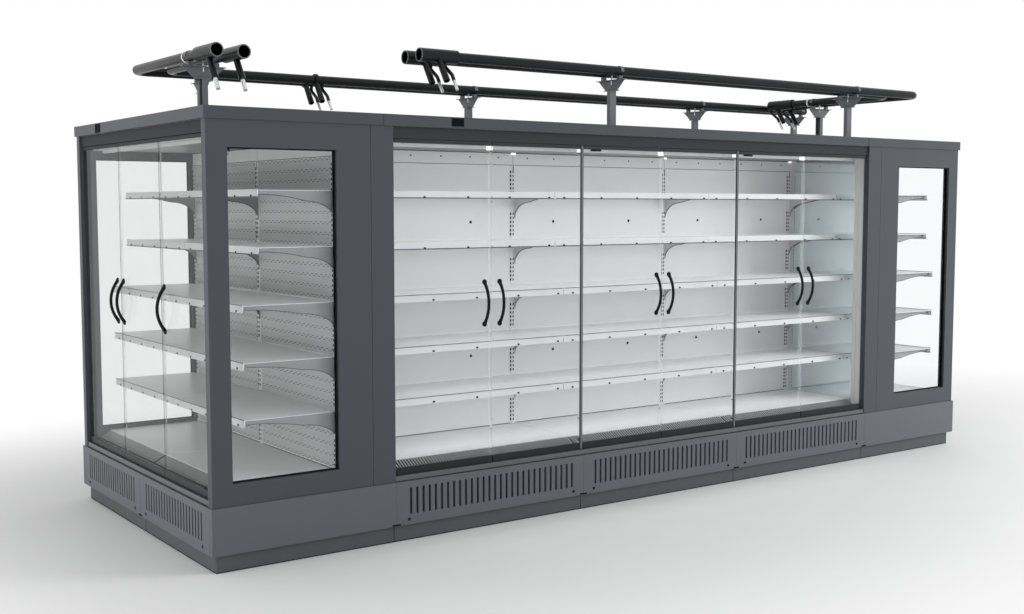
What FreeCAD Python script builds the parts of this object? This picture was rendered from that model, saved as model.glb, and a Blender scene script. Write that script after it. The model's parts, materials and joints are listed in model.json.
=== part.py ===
"""Glass-door multideck island: two long runs of bays back to back, with an end case across each end.

Frame: millimetres, origin on the floor at the centre of the footprint, +X along the length, +Z up.
Each of the four sides is modelled in its own side frame and then stood in its place. In a side frame
x runs to the right for someone facing that side, y goes inward from its outer face, and z goes up.
"""
import FreeCAD, Part
import math
import os

from FreeCAD import Placement, Rotation, Vector

# ---- How finely small round pieces are faceted ----
rod_sides = 6
pipe_sides = 8
handle_chords = 6

# ---- Driving dimensions of the island ----
bay_width = 1250.0
bays_per_run = 3
doors_per_head = 3
head_depth = 1003.5
panel_thickness = 52.0

# ---- Heights, from the floor up ----
plinth_height = 90.0
skirt_height = 231.0
sill_height = 26.0
door_height = 1746.0
header_height = 61.0
fascia_height = 59.0

# ---- Casing ----
plinth_recess = 21.0
plinth_board = 15.0
foot_pad_radius = 30.0
foot_stem_radius = 9.0
skirt_thickness = 20.0
skirt_reach = 8.0
fascia_reach = 10.0
fascia_wall = 22.0
corner_cap_length = 66.0
joint_cap_length = 80.0
seam_gap = 2.0
casing_edge_radius = 8.0

# ---- Vent grilles in the skirt ----
slot_pitch = 38.4
slot_width = 13.5
slot_height = 141.0
slot_base = 54.0
slots_per_bay = 29
slots_per_head_panel = 21

# ---- Windows in the side panels ----
window_front_stile = 105.0
window_rear_stile = 194.5
window_bottom_rail = 109.0
window_top_rail = 131.0
pane_thickness = 14.0
side_filler_width = 131.0

# ---- Doors ----
door_setback = 18.0
leaf_thickness = 26.0
glass_thickness = 20.0
meeting_gap = 5.0
mullion_gap = 25.0
door_clearance = 3.0
bottom_rail_height = 36.0
top_rail_height = 18.0
glass_groove = 12.0
pivot_radius = 6.0
pivot_flat_width = 4.0
pivot_length = 14.0
pivot_fit = 0.05
channel_wall = 4.0
pivot_inset = 14.0
handle_span = 228.0
handle_bulge = 43.0
handle_bar_radius = 9.0
handle_pad_radius = 15.0
handle_pad_thickness = 5.0
handle_inset = 47.5
handle_centre_height = 1232.0

# ---- Frame round the doors ----
frame_depth = 72.0
mullion_depth = 36.0
grille_front = 86.0
sill_lip = 4.0

# ---- Cold space ----
back_face = 700.0
back_sheet = 3.0
duct_depth = 45.0
wall_insulation = 60.0
tub_floor = 60.0
deck_rise = 59.0
deck_sheet = 3.0
deck_front = 150.0
deck_lip = 22.0
canopy_drop = 20.0
upper_back_height = 76.0
motor_half = 28.0
mirror_sheet = 4.0
mirror_front = 116.0
mirror_back = 663.0

# ---- Shelving ----
shelf_levels = 5
deep_shelf_levels = 3
shelf_rise = 309.0
shelf_pitch = 279.0
shelf_sheet = 3.0
shelf_lip = 26.0
deep_shelf_front = 194.0
shallow_shelf_front = 280.0
price_rail_height = 39.0
price_rail_depth = 6.0
upright_width = 40.0
upright_depth = 25.0
upright_slot_height = 34.0
upright_slot_width = 8.0
bracket_thickness = 10.0
bracket_root_height = 130.0
bracket_tip_height = 20.0
bracket_neck_height = 44.0

# ---- Header pipes on the roof ----
pipe_radius = 27.0
pipe_spacing = 145.0
pipe_bend_radius = 80.0
sleeve_radius = 37.0
sleeve_length = 240.0
sleeve_bore_depth = 60.0
collar_length = 24.0
upper_pipe_clearance = 386.0
lower_pipe_clearance = 366.0
front_pipe_inset = 121.0
right_pipe_inset = 332.0
left_pipe_inset = 220.0
rear_pipe_inset = 379.0
front_open_end = 1232.0
right_open_end = 579.0
left_open_end = 375.0
rear_pipe_end = 12.0
rear_collar_place = 1303.0
stub_radius = 18.0
stub_length = 165.0
stub_lean = 33.0
tip_radius = 11.0
tip_length = 68.0
stub_from_end = 118.0
stub_from_right_end = 55.0
line_radius = 10.0
stub_to_line = 45.0
line_elbow_reach = 69.0
line_elbow_drop = 101.0
line_tip_reach = 124.0
line_tip_drop = 190.0

# ---- Pipe stands ----
post_width = 46.0
post_depth = 30.0
post_wall = 4.0
saddle_height = 20.0
saddle_width = 24.0
post_foot_width = 90.0
front_post_place = 2615.0
right_post_place = 960.0
left_post_place = 735.0
rear_post_places = (600.0, 2480.0, 4580.0)
rear_end_post_place = 57.0
bracket_height = 65.0
bracket_top_width = 240.0
bracket_foot_width = 97.0
bracket_plate = 6.0
bracket_flange_width = 40.0

# ---- Sizes worked out from the ones above ----
run_length = bay_width * bays_per_run
door_pitch = bay_width / 2
head_span = door_pitch * doors_per_head
island_length = run_length + 2 * head_depth
island_width = head_span + 2 * panel_thickness
half_length = island_length / 2
half_width = island_width / 2

skirt_top = plinth_height + skirt_height
sill_base = skirt_top + sill_lip
sill_top = sill_base + sill_height
door_base = sill_top + door_clearance
door_top = door_base + door_height
header_base = door_top + door_clearance
header_top = header_base + header_height
canopy_base = header_base - canopy_drop
deck_top = sill_top + deck_rise
fascia_top = header_top + fascia_height
roof_sheet_top = header_top + post_depth / 2

leaf_back = door_setback + leaf_thickness
glass_front = door_setback + (leaf_thickness - glass_thickness) / 2
glass_back = glass_front + glass_thickness
pivot_depth = door_setback + pivot_radius
channel_front = pivot_depth - pivot_radius - pivot_fit
channel_back = 2 * pivot_depth - channel_front
mullion_width = mullion_gap - 2 * door_clearance
frame_back = door_setback + frame_depth
duct_back = back_face + back_sheet + duct_depth
wall_back = duct_back + wall_insulation
lower_back_top = canopy_base - upper_back_height
upright_front = back_face - upright_depth

SIDES = {
    "front": (0, 0, -half_width),
    "rear": (180, 0, half_width),
    "left": (-90, -half_length, 0),
    "right": (90, half_length, 0),
}


# ---- Shape helpers ----

def box(x, y, z):
    """A block between the two ends of each span x, y and z."""
    size = [abs(span[1] - span[0]) for span in (x, y, z)]
    return Part.makeBox(*size, Vector(min(x), min(y), min(z)))


def extruded(outline, start, travel):
    """A closed outline of (a, b) points, drawn in the plane across the travel, and extruded."""
    across_x = travel.x != 0
    points = [start + (Vector(0, a, b) if across_x else Vector(a, b, 0)) for a, b in outline]
    return Part.Face(Part.makePolygon(points + points[:1])).extrude(travel)


def along_x(outline, x_from, x_to):
    """A profile of (y, z) points extruded from x_from to x_to."""
    return extruded(outline, Vector(x_from, 0, 0), Vector(x_to - x_from, 0, 0))


def along_z(outline, z_from, z_to):
    """A profile of (x, y) points extruded from z_from to z_to."""
    return extruded(outline, Vector(0, 0, z_from), Vector(0, 0, z_to - z_from))


def ring_of_points(centre, across, up, radius, sides):
    """The corners of a regular polygon whose flats lie at the radius from its centre."""
    corner_radius = radius / math.cos(math.pi / sides)
    points = []
    for index in range(sides):
        angle = 2 * math.pi * (index + 0.5) / sides
        points.append(centre + across * (corner_radius * math.cos(angle)) + up * (corner_radius * math.sin(angle)))
    return points


def rod(start, end, radius, sides=rod_sides):
    """A bar from start to end, round but for its few flats, which touch the radius."""
    ahead = (end - start).normalize()
    level = Vector(0, 0, 1) if abs(ahead.z) < 0.9 else Vector(0, 1, 0)
    across = ahead.cross(level).normalize()
    corners = ring_of_points(start, across, across.cross(ahead), radius, sides)
    return Part.Face(Part.makePolygon(corners + corners[:1])).extrude(end - start)


def on_side(shape, side):
    """The shape, drawn in a side frame, stood on that side of the island."""
    angle, x, y = SIDES[side]
    placed = shape.copy()
    turn = Rotation(Vector(0, 0, 1), angle)
    placed.Placement = Placement(Vector(x, y, 0), turn).multiply(placed.Placement)
    return placed


def mirrored_in_x(shape):
    """The shape's mirror image in the plane x = 0."""
    return shape.mirror(Vector(0, 0, 0), Vector(1, 0, 0))


def save(node, solids):
    """Write one sub-part as a STEP file."""
    Part.makeCompound(solids).exportStep(f"parts/{node}.step")


# ---- How a side divides ----

def is_run(side):
    return side in ("front", "rear")


def half_span(side):
    """Half of the opening between a side's end walls."""
    return (run_length if is_run(side) else head_span) / 2


def post_lines(side):
    """The x of every slotted upright: one at each end of each compartment."""
    count = bays_per_run if is_run(side) else 2
    pitch = 2 * half_span(side) / count
    return [-half_span(side) + pitch * index for index in range(count + 1)]


def compartments(side):
    """The (x_from, x_to) of each compartment, less a seam to its neighbours."""
    lines = post_lines(side)
    return [(left + seam_gap, right - seam_gap) for left, right in zip(lines, lines[1:])]


def door_leaves(side):
    """The (hinge_edge, free_edge) of every leaf on a side, from left to right."""
    if is_run(side):
        lines = post_lines(side)
        leaves = []
        for left, right in zip(lines, lines[1:]):
            middle = (left + right) / 2
            leaves.append((left + mullion_gap / 2, middle - meeting_gap / 2))
            leaves.append((right - mullion_gap / 2, middle + meeting_gap / 2))
        return leaves
    half_gap = meeting_gap / 2
    edges = [-half_span(side) + door_pitch * index for index in range(doors_per_head + 1)]
    first = (edges[0] + half_gap, edges[1] - half_gap)
    others = [(right - half_gap, left + half_gap) for left, right in zip(edges[1:], edges[2:])]
    return [first] + others


def shelf_tops():
    return [deck_top + shelf_rise + shelf_pitch * level for level in range(shelf_levels)]


def shelf_front(level):
    return deep_shelf_front if level < deep_shelf_levels else shallow_shelf_front


# ---- Plinth and skirt ----

def plinth():
    """Recessed kick boards, one per casing section, and the levelling feet under the tubs."""
    solids = []
    for side in SIDES:
        reach = half_length if is_run(side) else half_width
        inset = plinth_recess if is_run(side) else plinth_recess + plinth_board
        cuts = [-run_length / 2 + bay_width * index for index in range(bays_per_run + 1)]
        edges = [inset - reach] + (cuts if is_run(side) else [0]) + [reach - inset]
        for left, right in zip(edges, edges[1:]):
            board = box((left + seam_gap / 2, right - seam_gap / 2),
                        (plinth_recess, plinth_recess + plinth_board), (0, plinth_height))
            solids.append(on_side(board, side))
        foot_x = half_span(side) - 2 * panel_thickness
        for x in (-foot_x, foot_x):
            for y in (3 * panel_thickness, back_face):
                solids.append(on_side(levelling_foot(x, y), side))
    return solids


def levelling_foot(x, y):
    """A round pad on a threaded stem."""
    shoulder = Vector(x, y, plinth_board)
    pad = rod(Vector(x, y, 0), shoulder, foot_pad_radius)
    stem = rod(shoulder, Vector(x, y, plinth_height), foot_stem_radius, 4)
    return pad.fuse(stem)


def slotted_plate(x_from, x_to, slots):
    """A skirt plate with a row of upright slots about its middle."""
    z_from = plinth_height
    plate = box((x_from, x_to), (-skirt_reach, skirt_thickness - skirt_reach), (z_from, skirt_top))
    middle = (x_from + x_to) / 2
    first = middle - slot_pitch * (slots - 1) / 2
    slot_z = (z_from + slot_base, z_from + slot_base + slot_height)
    cutters = []
    for index in range(slots):
        x = first + slot_pitch * index
        cutters.append(box((x - slot_width / 2, x + slot_width / 2), (-skirt_thickness, skirt_thickness), slot_z))
    return plate.cut(Part.makeCompound(cutters))


def vent_grilles():
    """Slotted skirt plates: one under each bay and two across each head."""
    solids = []
    for side in SIDES:
        if is_run(side):
            spans = [(left - seam_gap / 2, right + seam_gap / 2) for left, right in compartments(side)]
            slots = slots_per_bay
        else:
            reach = half_width - panel_thickness / 2
            spans = [(-reach, -seam_gap / 2), (seam_gap / 2, reach)]
            slots = slots_per_head_panel
        solids += [on_side(slotted_plate(left, right, slots), side) for left, right in spans]
    return solids


def skirt_panels():
    """Plain skirt plates under the side panels, each folded round its corner of the island."""
    start = run_length / 2 + seam_gap / 2
    inner = skirt_thickness - skirt_reach
    return_edge = panel_thickness / 2 - seam_gap
    outer_x = half_length + skirt_reach
    outer_y = -half_width - skirt_reach
    outline = [
        (start, outer_y), (outer_x, outer_y), (outer_x, -half_width + return_edge),
        (half_length - inner, -half_width + return_edge), (half_length - inner, -half_width + inner),
        (start, -half_width + inner),
    ]
    corner = along_z(outline, plinth_height, skirt_top)
    return four_corners(corner)


def four_corners(shape):
    """Copies of a shape at +x -y, mirrored to all four corners."""
    pair = [shape, mirrored_in_x(shape)]
    return pair + [piece.mirror(Vector(0, 0, 0), Vector(0, 1, 0)) for piece in pair]


# ---- Side panels, fascia and roof ----

def window_opening(y):
    """A block the size of a side window's opening, through the span y."""
    left = run_length / 2 + side_filler_width + window_rear_stile
    right = half_length - window_front_stile
    return box((left, right), y, (skirt_top + window_bottom_rail, header_top - window_top_rail))


def side_panels():
    """Insulated side panels of the end cases: a glazed leaf with an eased corner and a filler."""
    window = window_opening((-panel_thickness, 2 * panel_thickness))
    start = run_length / 2
    seam = start + side_filler_width
    leaf = box((seam + seam_gap, half_length), (0, panel_thickness), (skirt_top, header_top))
    corner_edge = [edge for edge in leaf.Edges if is_upright_at(edge, half_length, 0)]
    leaf = leaf.makeChamfer(casing_edge_radius / 2, corner_edge).cut(window)
    filler = box((start, seam), (0, panel_thickness), (skirt_top, header_top))
    solids = []
    for side in ("front", "rear"):
        for panel in (leaf, filler):
            solids += [on_side(panel, side), on_side(mirrored_in_x(panel), side)]
    return solids


def is_upright_at(edge, x, y):
    """Whether an edge stands upright at (x, y)."""
    box_of_edge = edge.BoundBox
    flat = box_of_edge.XLength < 1 and box_of_edge.YLength < 1
    return flat and abs(box_of_edge.XMin - x) < 1 and abs(box_of_edge.YMin - y) < 1


def window_panes():
    """One sealed pane in each side window."""
    middle = panel_thickness / 2
    pane = window_opening((middle - pane_thickness / 2, middle + pane_thickness / 2))
    solids = []
    for side in ("front", "rear"):
        solids += [on_side(pane, side), on_side(mirrored_in_x(pane), side)]
    return solids


def fascia_profile(reach):
    """A fascia board's section, with its top flange turned in over the roof."""
    flange = fascia_wall + casing_edge_radius
    fold = fascia_top - casing_edge_radius
    inner = fascia_wall - fascia_reach
    return [
        (-reach, header_top), (inner, header_top), (inner, fold), (flange, fold), (flange, fascia_top),
        (-reach + casing_edge_radius / 2, fascia_top), (-reach, fascia_top - casing_edge_radius / 2),
    ]


def top_fascia():
    """Fascia boards on the four sides, corner caps and the raised caps over the joints."""
    solids = []
    corner = half_length + fascia_reach - corner_cap_length
    depth = half_width + fascia_reach - corner_cap_length
    cap_outer = run_length / 2 + joint_cap_length * 0.75
    cap_inner = cap_outer - joint_cap_length
    for side in SIDES:
        if is_run(side):
            spans = [(-corner, -cap_outer), (-cap_inner, cap_inner), (cap_outer, corner)]
            for left, right in ((-cap_outer, -cap_inner), (cap_inner, cap_outer)):
                cap = along_x(fascia_profile(fascia_reach + seam_gap), left, right)
                solids.append(on_side(cap, side))
        else:
            spans = [(-depth, depth)]
        for left, right in spans:
            board = along_x(fascia_profile(fascia_reach), left, right)
            solids.append(on_side(board, side))
    return solids + four_corners(fascia_corner_cap())


def fascia_corner_cap():
    """The folded cap that joins two fascia boards at a corner."""
    outer_x = half_length + fascia_reach
    outer_y = -half_width - fascia_reach
    wall = fascia_wall
    outline = [
        (outer_x - corner_cap_length, outer_y), (outer_x, outer_y), (outer_x, outer_y + corner_cap_length),
        (outer_x - wall, outer_y + corner_cap_length), (outer_x - wall, outer_y + wall),
        (outer_x - corner_cap_length, outer_y + wall),
    ]
    cap = along_z(outline, header_top, fascia_top)
    edge = [item for item in cap.Edges if is_upright_at(item, outer_x, outer_y)]
    return cap.makeChamfer(casing_edge_radius / 2, edge)


def roof_shell():
    """The insulated canopy over the cold spaces, and the sheet on top that closes the roof."""
    end = half_length - frame_back
    shoulder = run_length / 2
    run_edge = half_width - frame_back
    head_edge = half_width - panel_thickness
    quarter = [(end, head_edge), (shoulder, head_edge), (shoulder, run_edge)]
    outline = quarter + [(-x, y) for x, y in reversed(quarter)]
    outline += [(-x, -y) for x, y in quarter] + [(x, -y) for x, y in reversed(quarter)]
    canopy = along_z(outline, canopy_base, header_top)
    inset = fascia_wall - fascia_reach
    sheet = box((inset - half_length, half_length - inset), (inset - half_width, half_width - inset),
                (header_top, roof_sheet_top))
    return [canopy, sheet]


# ---- Cabinet body ----

def base_tub():
    """The insulated tubs under the decks, open on top for the evaporators and the return air."""
    front = skirt_thickness - skirt_reach
    inner_front = front + panel_thickness
    solids = []
    for side in SIDES:
        reach = half_span(side) if is_run(side) else half_width - front
        base_back = half_width if is_run(side) else head_depth
        floor = plinth_height + tub_floor
        profile = [
            (front, plinth_height), (base_back, plinth_height), (base_back, floor), (wall_back, floor),
            (wall_back, skirt_top), (duct_back, skirt_top), (duct_back, floor), (inner_front, floor),
            (inner_front, skirt_top), (front, skirt_top),
        ]
        solids.append(on_side(along_x(profile, -reach, reach), side))
    return solids


def core_wall():
    """The insulated rear walls of the runs and heads, and the walls that close the runs' ends."""
    solids = []
    for side in SIDES:
        reach = half_span(side)
        rear_wall = box((-reach, reach), (duct_back, wall_back), (skirt_top, canopy_base))
        solids.append(on_side(rear_wall, side))
        if is_run(side):
            end_wall = box((reach, reach + panel_thickness), (panel_thickness, wall_back), (skirt_top, canopy_base))
            solids += [on_side(end_wall, side), on_side(mirrored_in_x(end_wall), side)]
    return solids


def back_panels():
    """Sheet panels that face the cold space, with the upper duct cover above the joint."""
    solids = []
    sheet = (back_face, back_face + back_sheet)
    for side in SIDES:
        for span in compartments(side):
            solids.append(on_side(box(span, sheet, (deck_top - deck_lip, lower_back_top)), side))
            upper = (lower_back_top + seam_gap, canopy_base)
            solids.append(on_side(box(span, sheet, upper), side))
    return solids


def display_decks():
    """The bottom display deck of each compartment: a tray sheet with its front edge turned down."""
    under = deck_top - deck_sheet
    profile = [
        (deck_front, deck_top), (back_face, deck_top), (back_face, under), (deck_front + deck_sheet, under),
        (deck_front + deck_sheet, deck_top - deck_lip), (deck_front, deck_top - deck_lip),
    ]
    return [on_side(along_x(profile, *span), side) for side in SIDES for span in compartments(side)]


def return_grilles():
    """The return-air grille between the sill and the deck, a shallow channel that slopes up inward."""
    front = grille_front
    low = sill_top + deck_lip
    high = deck_top - deck_sheet
    profile = [
        (front, sill_top), (front + deck_sheet, sill_top), (front + deck_sheet, low - deck_sheet),
        (deck_front, high - deck_sheet), (deck_front, high), (front, low),
    ]
    return [on_side(along_x(profile, *span), side) for side in SIDES for span in compartments(side)]


def mirror_panels():
    """Mirror sheets on the inner faces of the runs' end walls."""
    edge = run_length / 2
    mirror = box((edge - mirror_sheet, edge), (mirror_front, mirror_back), (deck_top, canopy_base))
    return [on_side(piece, side) for side in ("front", "rear") for piece in (mirror, mirrored_in_x(mirror))]


def evaporators():
    """A finned cooler block and its fan, with a bell-mouthed ring, under each deck."""
    floor = plinth_height + tub_floor
    solids = []
    for side in SIDES:
        for left, right in compartments(side):
            coil = box((left + panel_thickness, right - panel_thickness), (back_face / 2, back_face), (floor, sill_base))
            solids.append(on_side(coil, side))
            middle = (left + right) / 2
            solids += [on_side(piece, side) for piece in fan_unit(middle, floor)]
    return solids


def fan_unit(x, floor):
    """A square fan plate with a round throat, and the sealed motor on its bar across the inlet."""
    half = (sill_base - floor) / 2
    centre_z = floor + half
    y_from = back_face / 2 - 3 * post_width
    plate = box((x - half, x + half), (y_from, y_from + post_depth), (floor, sill_base))
    inlet = Vector(x, y_from, centre_z)
    outlet = Vector(x, y_from + post_depth, centre_z)
    throat = rod(inlet, outlet, half * 0.85)
    motor = box((x - half, x + half), (y_from - post_depth, y_from), (centre_z - motor_half, centre_z + motor_half))
    return [plate.cut(throat), motor]


# ---- Door frame ----

def door_headers():
    """The dark beam over the doors, with a channel along its underside for the top pivots."""
    solids = []
    for side in SIDES:
        channel_top = header_base + pivot_length
        profile = [
            (door_setback - channel_wall, header_base), (channel_front, header_base), (channel_front, channel_top),
            (channel_back, channel_top), (channel_back, header_base), (frame_back, header_base),
            (frame_back, header_top), (door_setback - channel_wall, header_top),
        ]
        solids.append(on_side(along_x(profile, -half_span(side), half_span(side)), side))
    return solids


def door_sills():
    """The sill under the doors, a stepped bar with a channel along its top for the bottom pivots."""
    solids = []
    for side in SIDES:
        foot = door_setback
        channel_floor = sill_top - pivot_length
        profile = [
            (foot, skirt_top), (frame_back, skirt_top), (frame_back, sill_top), (channel_back, sill_top),
            (channel_back, channel_floor), (channel_front, channel_floor), (channel_front, sill_top),
            (sill_lip, sill_top), (sill_lip, sill_base), (foot, sill_base),
        ]
        solids.append(on_side(along_x(profile, -half_span(side), half_span(side)), side))
    return solids


def hinge_x(hinge_edge, free_edge):
    """The x of a leaf's hinge axis."""
    return hinge_edge + math.copysign(pivot_inset, free_edge - hinge_edge)


def mullions():
    """Slim posts between the bays' doors, flush with the leaves, and half posts as jambs at the ends."""
    solids = []
    depth = (door_setback, door_setback + mullion_depth)
    for side in ("front", "rear"):
        reach = half_span(side)
        for x in post_lines(side):
            span = (max(x - mullion_width / 2, -reach), min(x + mullion_width / 2, reach))
            solids.append(on_side(box(span, depth, (sill_top, header_base)), side))
    return solids


def light_strips():
    """A light bar under the canopy's front edge in each compartment."""
    front = frame_back + panel_thickness
    base = canopy_base - post_depth / 2
    profile = [(front, canopy_base), (front, base), (front + post_depth / 3, base), (front + post_depth, canopy_base)]
    solids = []
    for side in SIDES:
        solids += [on_side(along_x(profile, *shelf_span(span, side)), side) for span in compartments(side)]
    return solids


# ---- Shelving ----

def slotted_uprights():
    """Upright posts on the back wall, slotted under every other shelf level for spare hooks."""
    solids = []
    for side in SIDES:
        for x in upright_lines(side):
            span = (x - upright_width / 2, x + upright_width / 2)
            post = box(span, (upright_front, back_face), (deck_top, lower_back_top))
            slots = [upright_slot(x, top) for top in shelf_tops()[::2]]
            solids.append(on_side(post.cut(Part.makeCompound(slots)), side))
    return solids


def upright_lines(side):
    """The x of every upright, with the end ones drawn in so that they clear the end walls."""
    limit = half_span(side) - upright_width / 2 - mirror_sheet
    return [max(-limit, min(limit, x)) for x in post_lines(side)]


def upright_slot(x, shelf_top):
    """A hook slot just under a shelf's bracket."""
    base = shelf_top - shelf_sheet - bracket_root_height - upright_slot_height
    return box((x - upright_slot_width / 2, x + upright_slot_width / 2),
               (upright_front - seam_gap, back_face + seam_gap), (base, base + upright_slot_height - seam_gap))


def shelves():
    """Shelf trays: a sheet with its front edge turned down, one per compartment and level."""
    solids = []
    for side in SIDES:
        for level, top in enumerate(shelf_tops()):
            front = shelf_front(level)
            profile = [
                (front, top), (upright_front, top), (upright_front, top - shelf_sheet),
                (front + shelf_sheet, top - shelf_sheet), (front + shelf_sheet, top - shelf_lip), (front, top - shelf_lip),
            ]
            solids += [on_side(along_x(profile, *shelf_span(span, side)), side) for span in compartments(side)]
    return solids


def shelf_span(span, side):
    """A compartment's span, held clear of the mirrors on the end walls."""
    limit = half_span(side) - mirror_sheet - seam_gap
    return max(span[0], -limit), min(span[1], limit)


def price_rails():
    """The leaning price rail clipped to each shelf's front edge."""
    solids = []
    for side in SIDES:
        for level, top in enumerate(shelf_tops()):
            front = shelf_front(level)
            high = top + shelf_sheet
            low = high - price_rail_height
            profile = [
                (front, high), (front, low), (front - price_rail_depth, low),
                (front - price_rail_depth / 3, high),
            ]
            solids += [on_side(along_x(profile, *shelf_span(span, side)), side) for span in compartments(side)]
    return solids


def shelf_brackets():
    """Cantilever brackets under the shelves, one at each upright."""
    solids = []
    for side in SIDES:
        for level, top in enumerate(shelf_tops()):
            blade = bracket_blade(shelf_front(level) + shelf_sheet, top - shelf_sheet)
            for x in upright_lines(side):
                placed = blade.copy()
                placed.translate(Vector(x - bracket_thickness / 2, 0, 0))
                solids.append(on_side(placed, side))
    return solids


def bracket_blade(front, top):
    """One bracket plate at x = 0: a slim arm whose lower edge sweeps down into a deep root."""
    reach = upright_front - front
    neck = front + reach * 0.67
    sweep = front + reach * 0.87
    sweep_height = bracket_neck_height + (bracket_root_height - bracket_neck_height) * 0.3
    outline = [
        (front, top), (front, top - bracket_tip_height), (neck, top - bracket_neck_height),
        (sweep, top - sweep_height), (upright_front, top - bracket_root_height), (upright_front, top),
    ]
    return along_x(outline, 0, bracket_thickness)


# ---- Doors ----

def door_glass(hinge_edge, free_edge):
    """The sealed glass unit of a leaf, held in the grooves of its two rails."""
    return box((hinge_edge, free_edge), (glass_front, glass_back),
               (door_base + bottom_rail_height - glass_groove, door_top - top_rail_height + glass_groove))


def door_fittings(hinge_edge, free_edge):
    """A leaf's bottom and top rails with their pivots, and its bow handle."""
    axis_x = hinge_x(hinge_edge, free_edge)
    bottom = along_x(rail_profile(door_base, bottom_rail_height), hinge_edge, free_edge)
    top = along_x(rail_profile(door_top, -top_rail_height), hinge_edge, free_edge)
    top_start = Vector(axis_x, pivot_depth, door_top)
    reach = Vector(0, 0, pivot_length - seam_gap)
    top_pin = rod(top_start, top_start + reach, pivot_radius * math.cos(math.pi / rod_sides))
    handle_x = free_edge - math.copysign(handle_inset, free_edge - hinge_edge)
    return [bottom, top, bottom_pivot(axis_x), top_pin] + bow_handle(handle_x)


def bottom_pivot(x):
    """The pin that carries a leaf, rounded about its axis where it bears on the sill and flat elsewhere."""
    tip = door_base - (pivot_length - seam_gap)
    pin = Part.makeCylinder(pivot_radius, door_base - tip, Vector(x, pivot_depth, tip))
    half = pivot_flat_width / 2
    between_flats = box((x - half, x + half), (pivot_depth - pivot_radius, pivot_depth + half), (tip, door_base))
    return pin.common(between_flats)


def rail_profile(z_outer, height):
    """A rail's section: a closed outer edge at z_outer and a groove for the glass on the other."""
    z_inner = z_outer + height
    groove = z_inner - math.copysign(glass_groove, height)
    return [
        (door_setback, z_outer), (leaf_back, z_outer), (leaf_back, z_inner), (glass_back, z_inner),
        (glass_back, groove), (glass_front, groove), (glass_front, z_inner), (door_setback, z_inner),
    ]


def bow_handle(x):
    """A bar bent to an arc of equal chords, its two feet on round pads against the glass."""
    half = handle_span / 2
    arc_radius = (half ** 2 + handle_bulge ** 2) / (2 * handle_bulge)
    centre_y = glass_front - handle_bulge + arc_radius
    spread = math.asin(half / arc_radius)
    outer = []
    inner = []
    for index in range(handle_chords + 1):
        angle = spread * (2 * index / handle_chords - 1)
        for edge, radius in ((outer, arc_radius + handle_bar_radius), (inner, arc_radius - handle_bar_radius)):
            y = centre_y - radius * math.cos(angle)
            edge.append((y, handle_centre_height + radius * math.sin(angle)))
    bar = along_x(outer + inner[::-1], x - handle_bar_radius, x + handle_bar_radius)
    reach = 2 * half
    foot = glass_front - handle_pad_thickness
    behind = box((x - half, x + half), (foot, foot + half),
                 (handle_centre_height - reach, handle_centre_height + reach))
    pads = []
    for z in (handle_centre_height - half, handle_centre_height + half):
        pad_start = Vector(x, glass_front, z)
        pads.append(rod(pad_start, pad_start - Vector(0, handle_pad_thickness, 0), handle_pad_radius))
    return [bar.cut(behind)] + pads


# ---- Header pipes ----

def mitred_tube(points, radius, sides):
    """A tube along straight runs, each corner of the route cut to a mitre, as a stack of lofts."""
    directions = [(end - start).normalize() for start, end in zip(points, points[1:])]
    normals = [directions[0]]
    normals += [(before + after).normalize() for before, after in zip(directions, directions[1:])]
    normals.append(directions[-1])
    level = Vector(0, 0, 1) if abs(directions[0].z) < 0.9 else Vector(1, 0, 0)
    across = directions[0].cross(level).normalize()
    ring = ring_of_points(points[0], across, across.cross(directions[0]), radius, sides)
    rings = [ring]
    for ahead, point, normal in zip(directions, points[1:], normals[1:]):
        ring = [corner + ahead * ((point - corner).dot(normal) / ahead.dot(normal)) for corner in ring]
        rings.append(ring)
    faces = [Part.Face(Part.makePolygon(end + end[:1])) for end in (rings[0], rings[-1])]
    for near, far in zip(rings, rings[1:]):
        for index in range(sides):
            after = (index + 1) % sides
            quad = [near[index], near[after], far[after], far[index]]
            faces.append(Part.Face(Part.makePolygon(quad + quad[:1])))
    solid = Part.makeSolid(Part.makeShell(faces))
    return solid if solid.Volume > 0 else solid.reversed()


def eased_corner(before, corner, after, trim):
    """Three points that take a square corner in equal turns, starting and ending the trim away from it."""
    back = (before - corner).normalize()
    ahead = (after - corner).normalize()
    inset = trim * (2 - math.sqrt(2)) / 2
    return [corner + back * trim, corner + (back + ahead) * inset, corner + ahead * trim]


def header_pipe(route, sleeves, drops):
    """An insulated header pipe with its sleeves, bored at each open end, and the drops given as solids."""
    bend = eased_corner(*route, pipe_bend_radius)
    pipe = mitred_tube([route[0]] + bend + [route[-1]], pipe_radius, pipe_sides)
    extras = [rod(start, end, sleeve_radius, pipe_sides) for start, end in sleeves] + drops
    bores = []
    for start, end in sleeves:
        if start in (route[0], route[-1]):
            ahead = (end - start).normalize()
            bores.append(rod(start, start + ahead * sleeve_bore_depth, pipe_radius, pipe_sides))
    return pipe.fuse(extras).cut(Part.makeCompound(bores)).removeSplitter()


def leaning_stub(top):
    """The (start, end) of a stub that leans down and forward from a pipe's axis."""
    lean = math.radians(stub_lean)
    return top, top + Vector(0, -math.sin(lean), -math.cos(lean)) * stub_length


def drop_lines(top, along):
    """A leaning stub and, further along the pipe, a thin line with two bends, both led down and forward."""
    start = top + along * stub_to_line
    knee = start - Vector(0, 0, 2 * pipe_radius)
    elbow = start - Vector(0, line_elbow_reach, line_elbow_drop)
    tip = start - Vector(0, line_tip_reach, line_tip_drop)
    return [rod(*leaning_stub(top), stub_radius), mitred_tube([start, knee, elbow, tip], line_radius, rod_sides)]


def tipped_stub(top):
    """A leaning stub with a thinner bare tube out of its end."""
    start, end = leaning_stub(top)
    ahead = (end - start).normalize()
    return [rod(start, end, stub_radius), rod(end, end + ahead * tip_length, tip_radius)]


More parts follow.
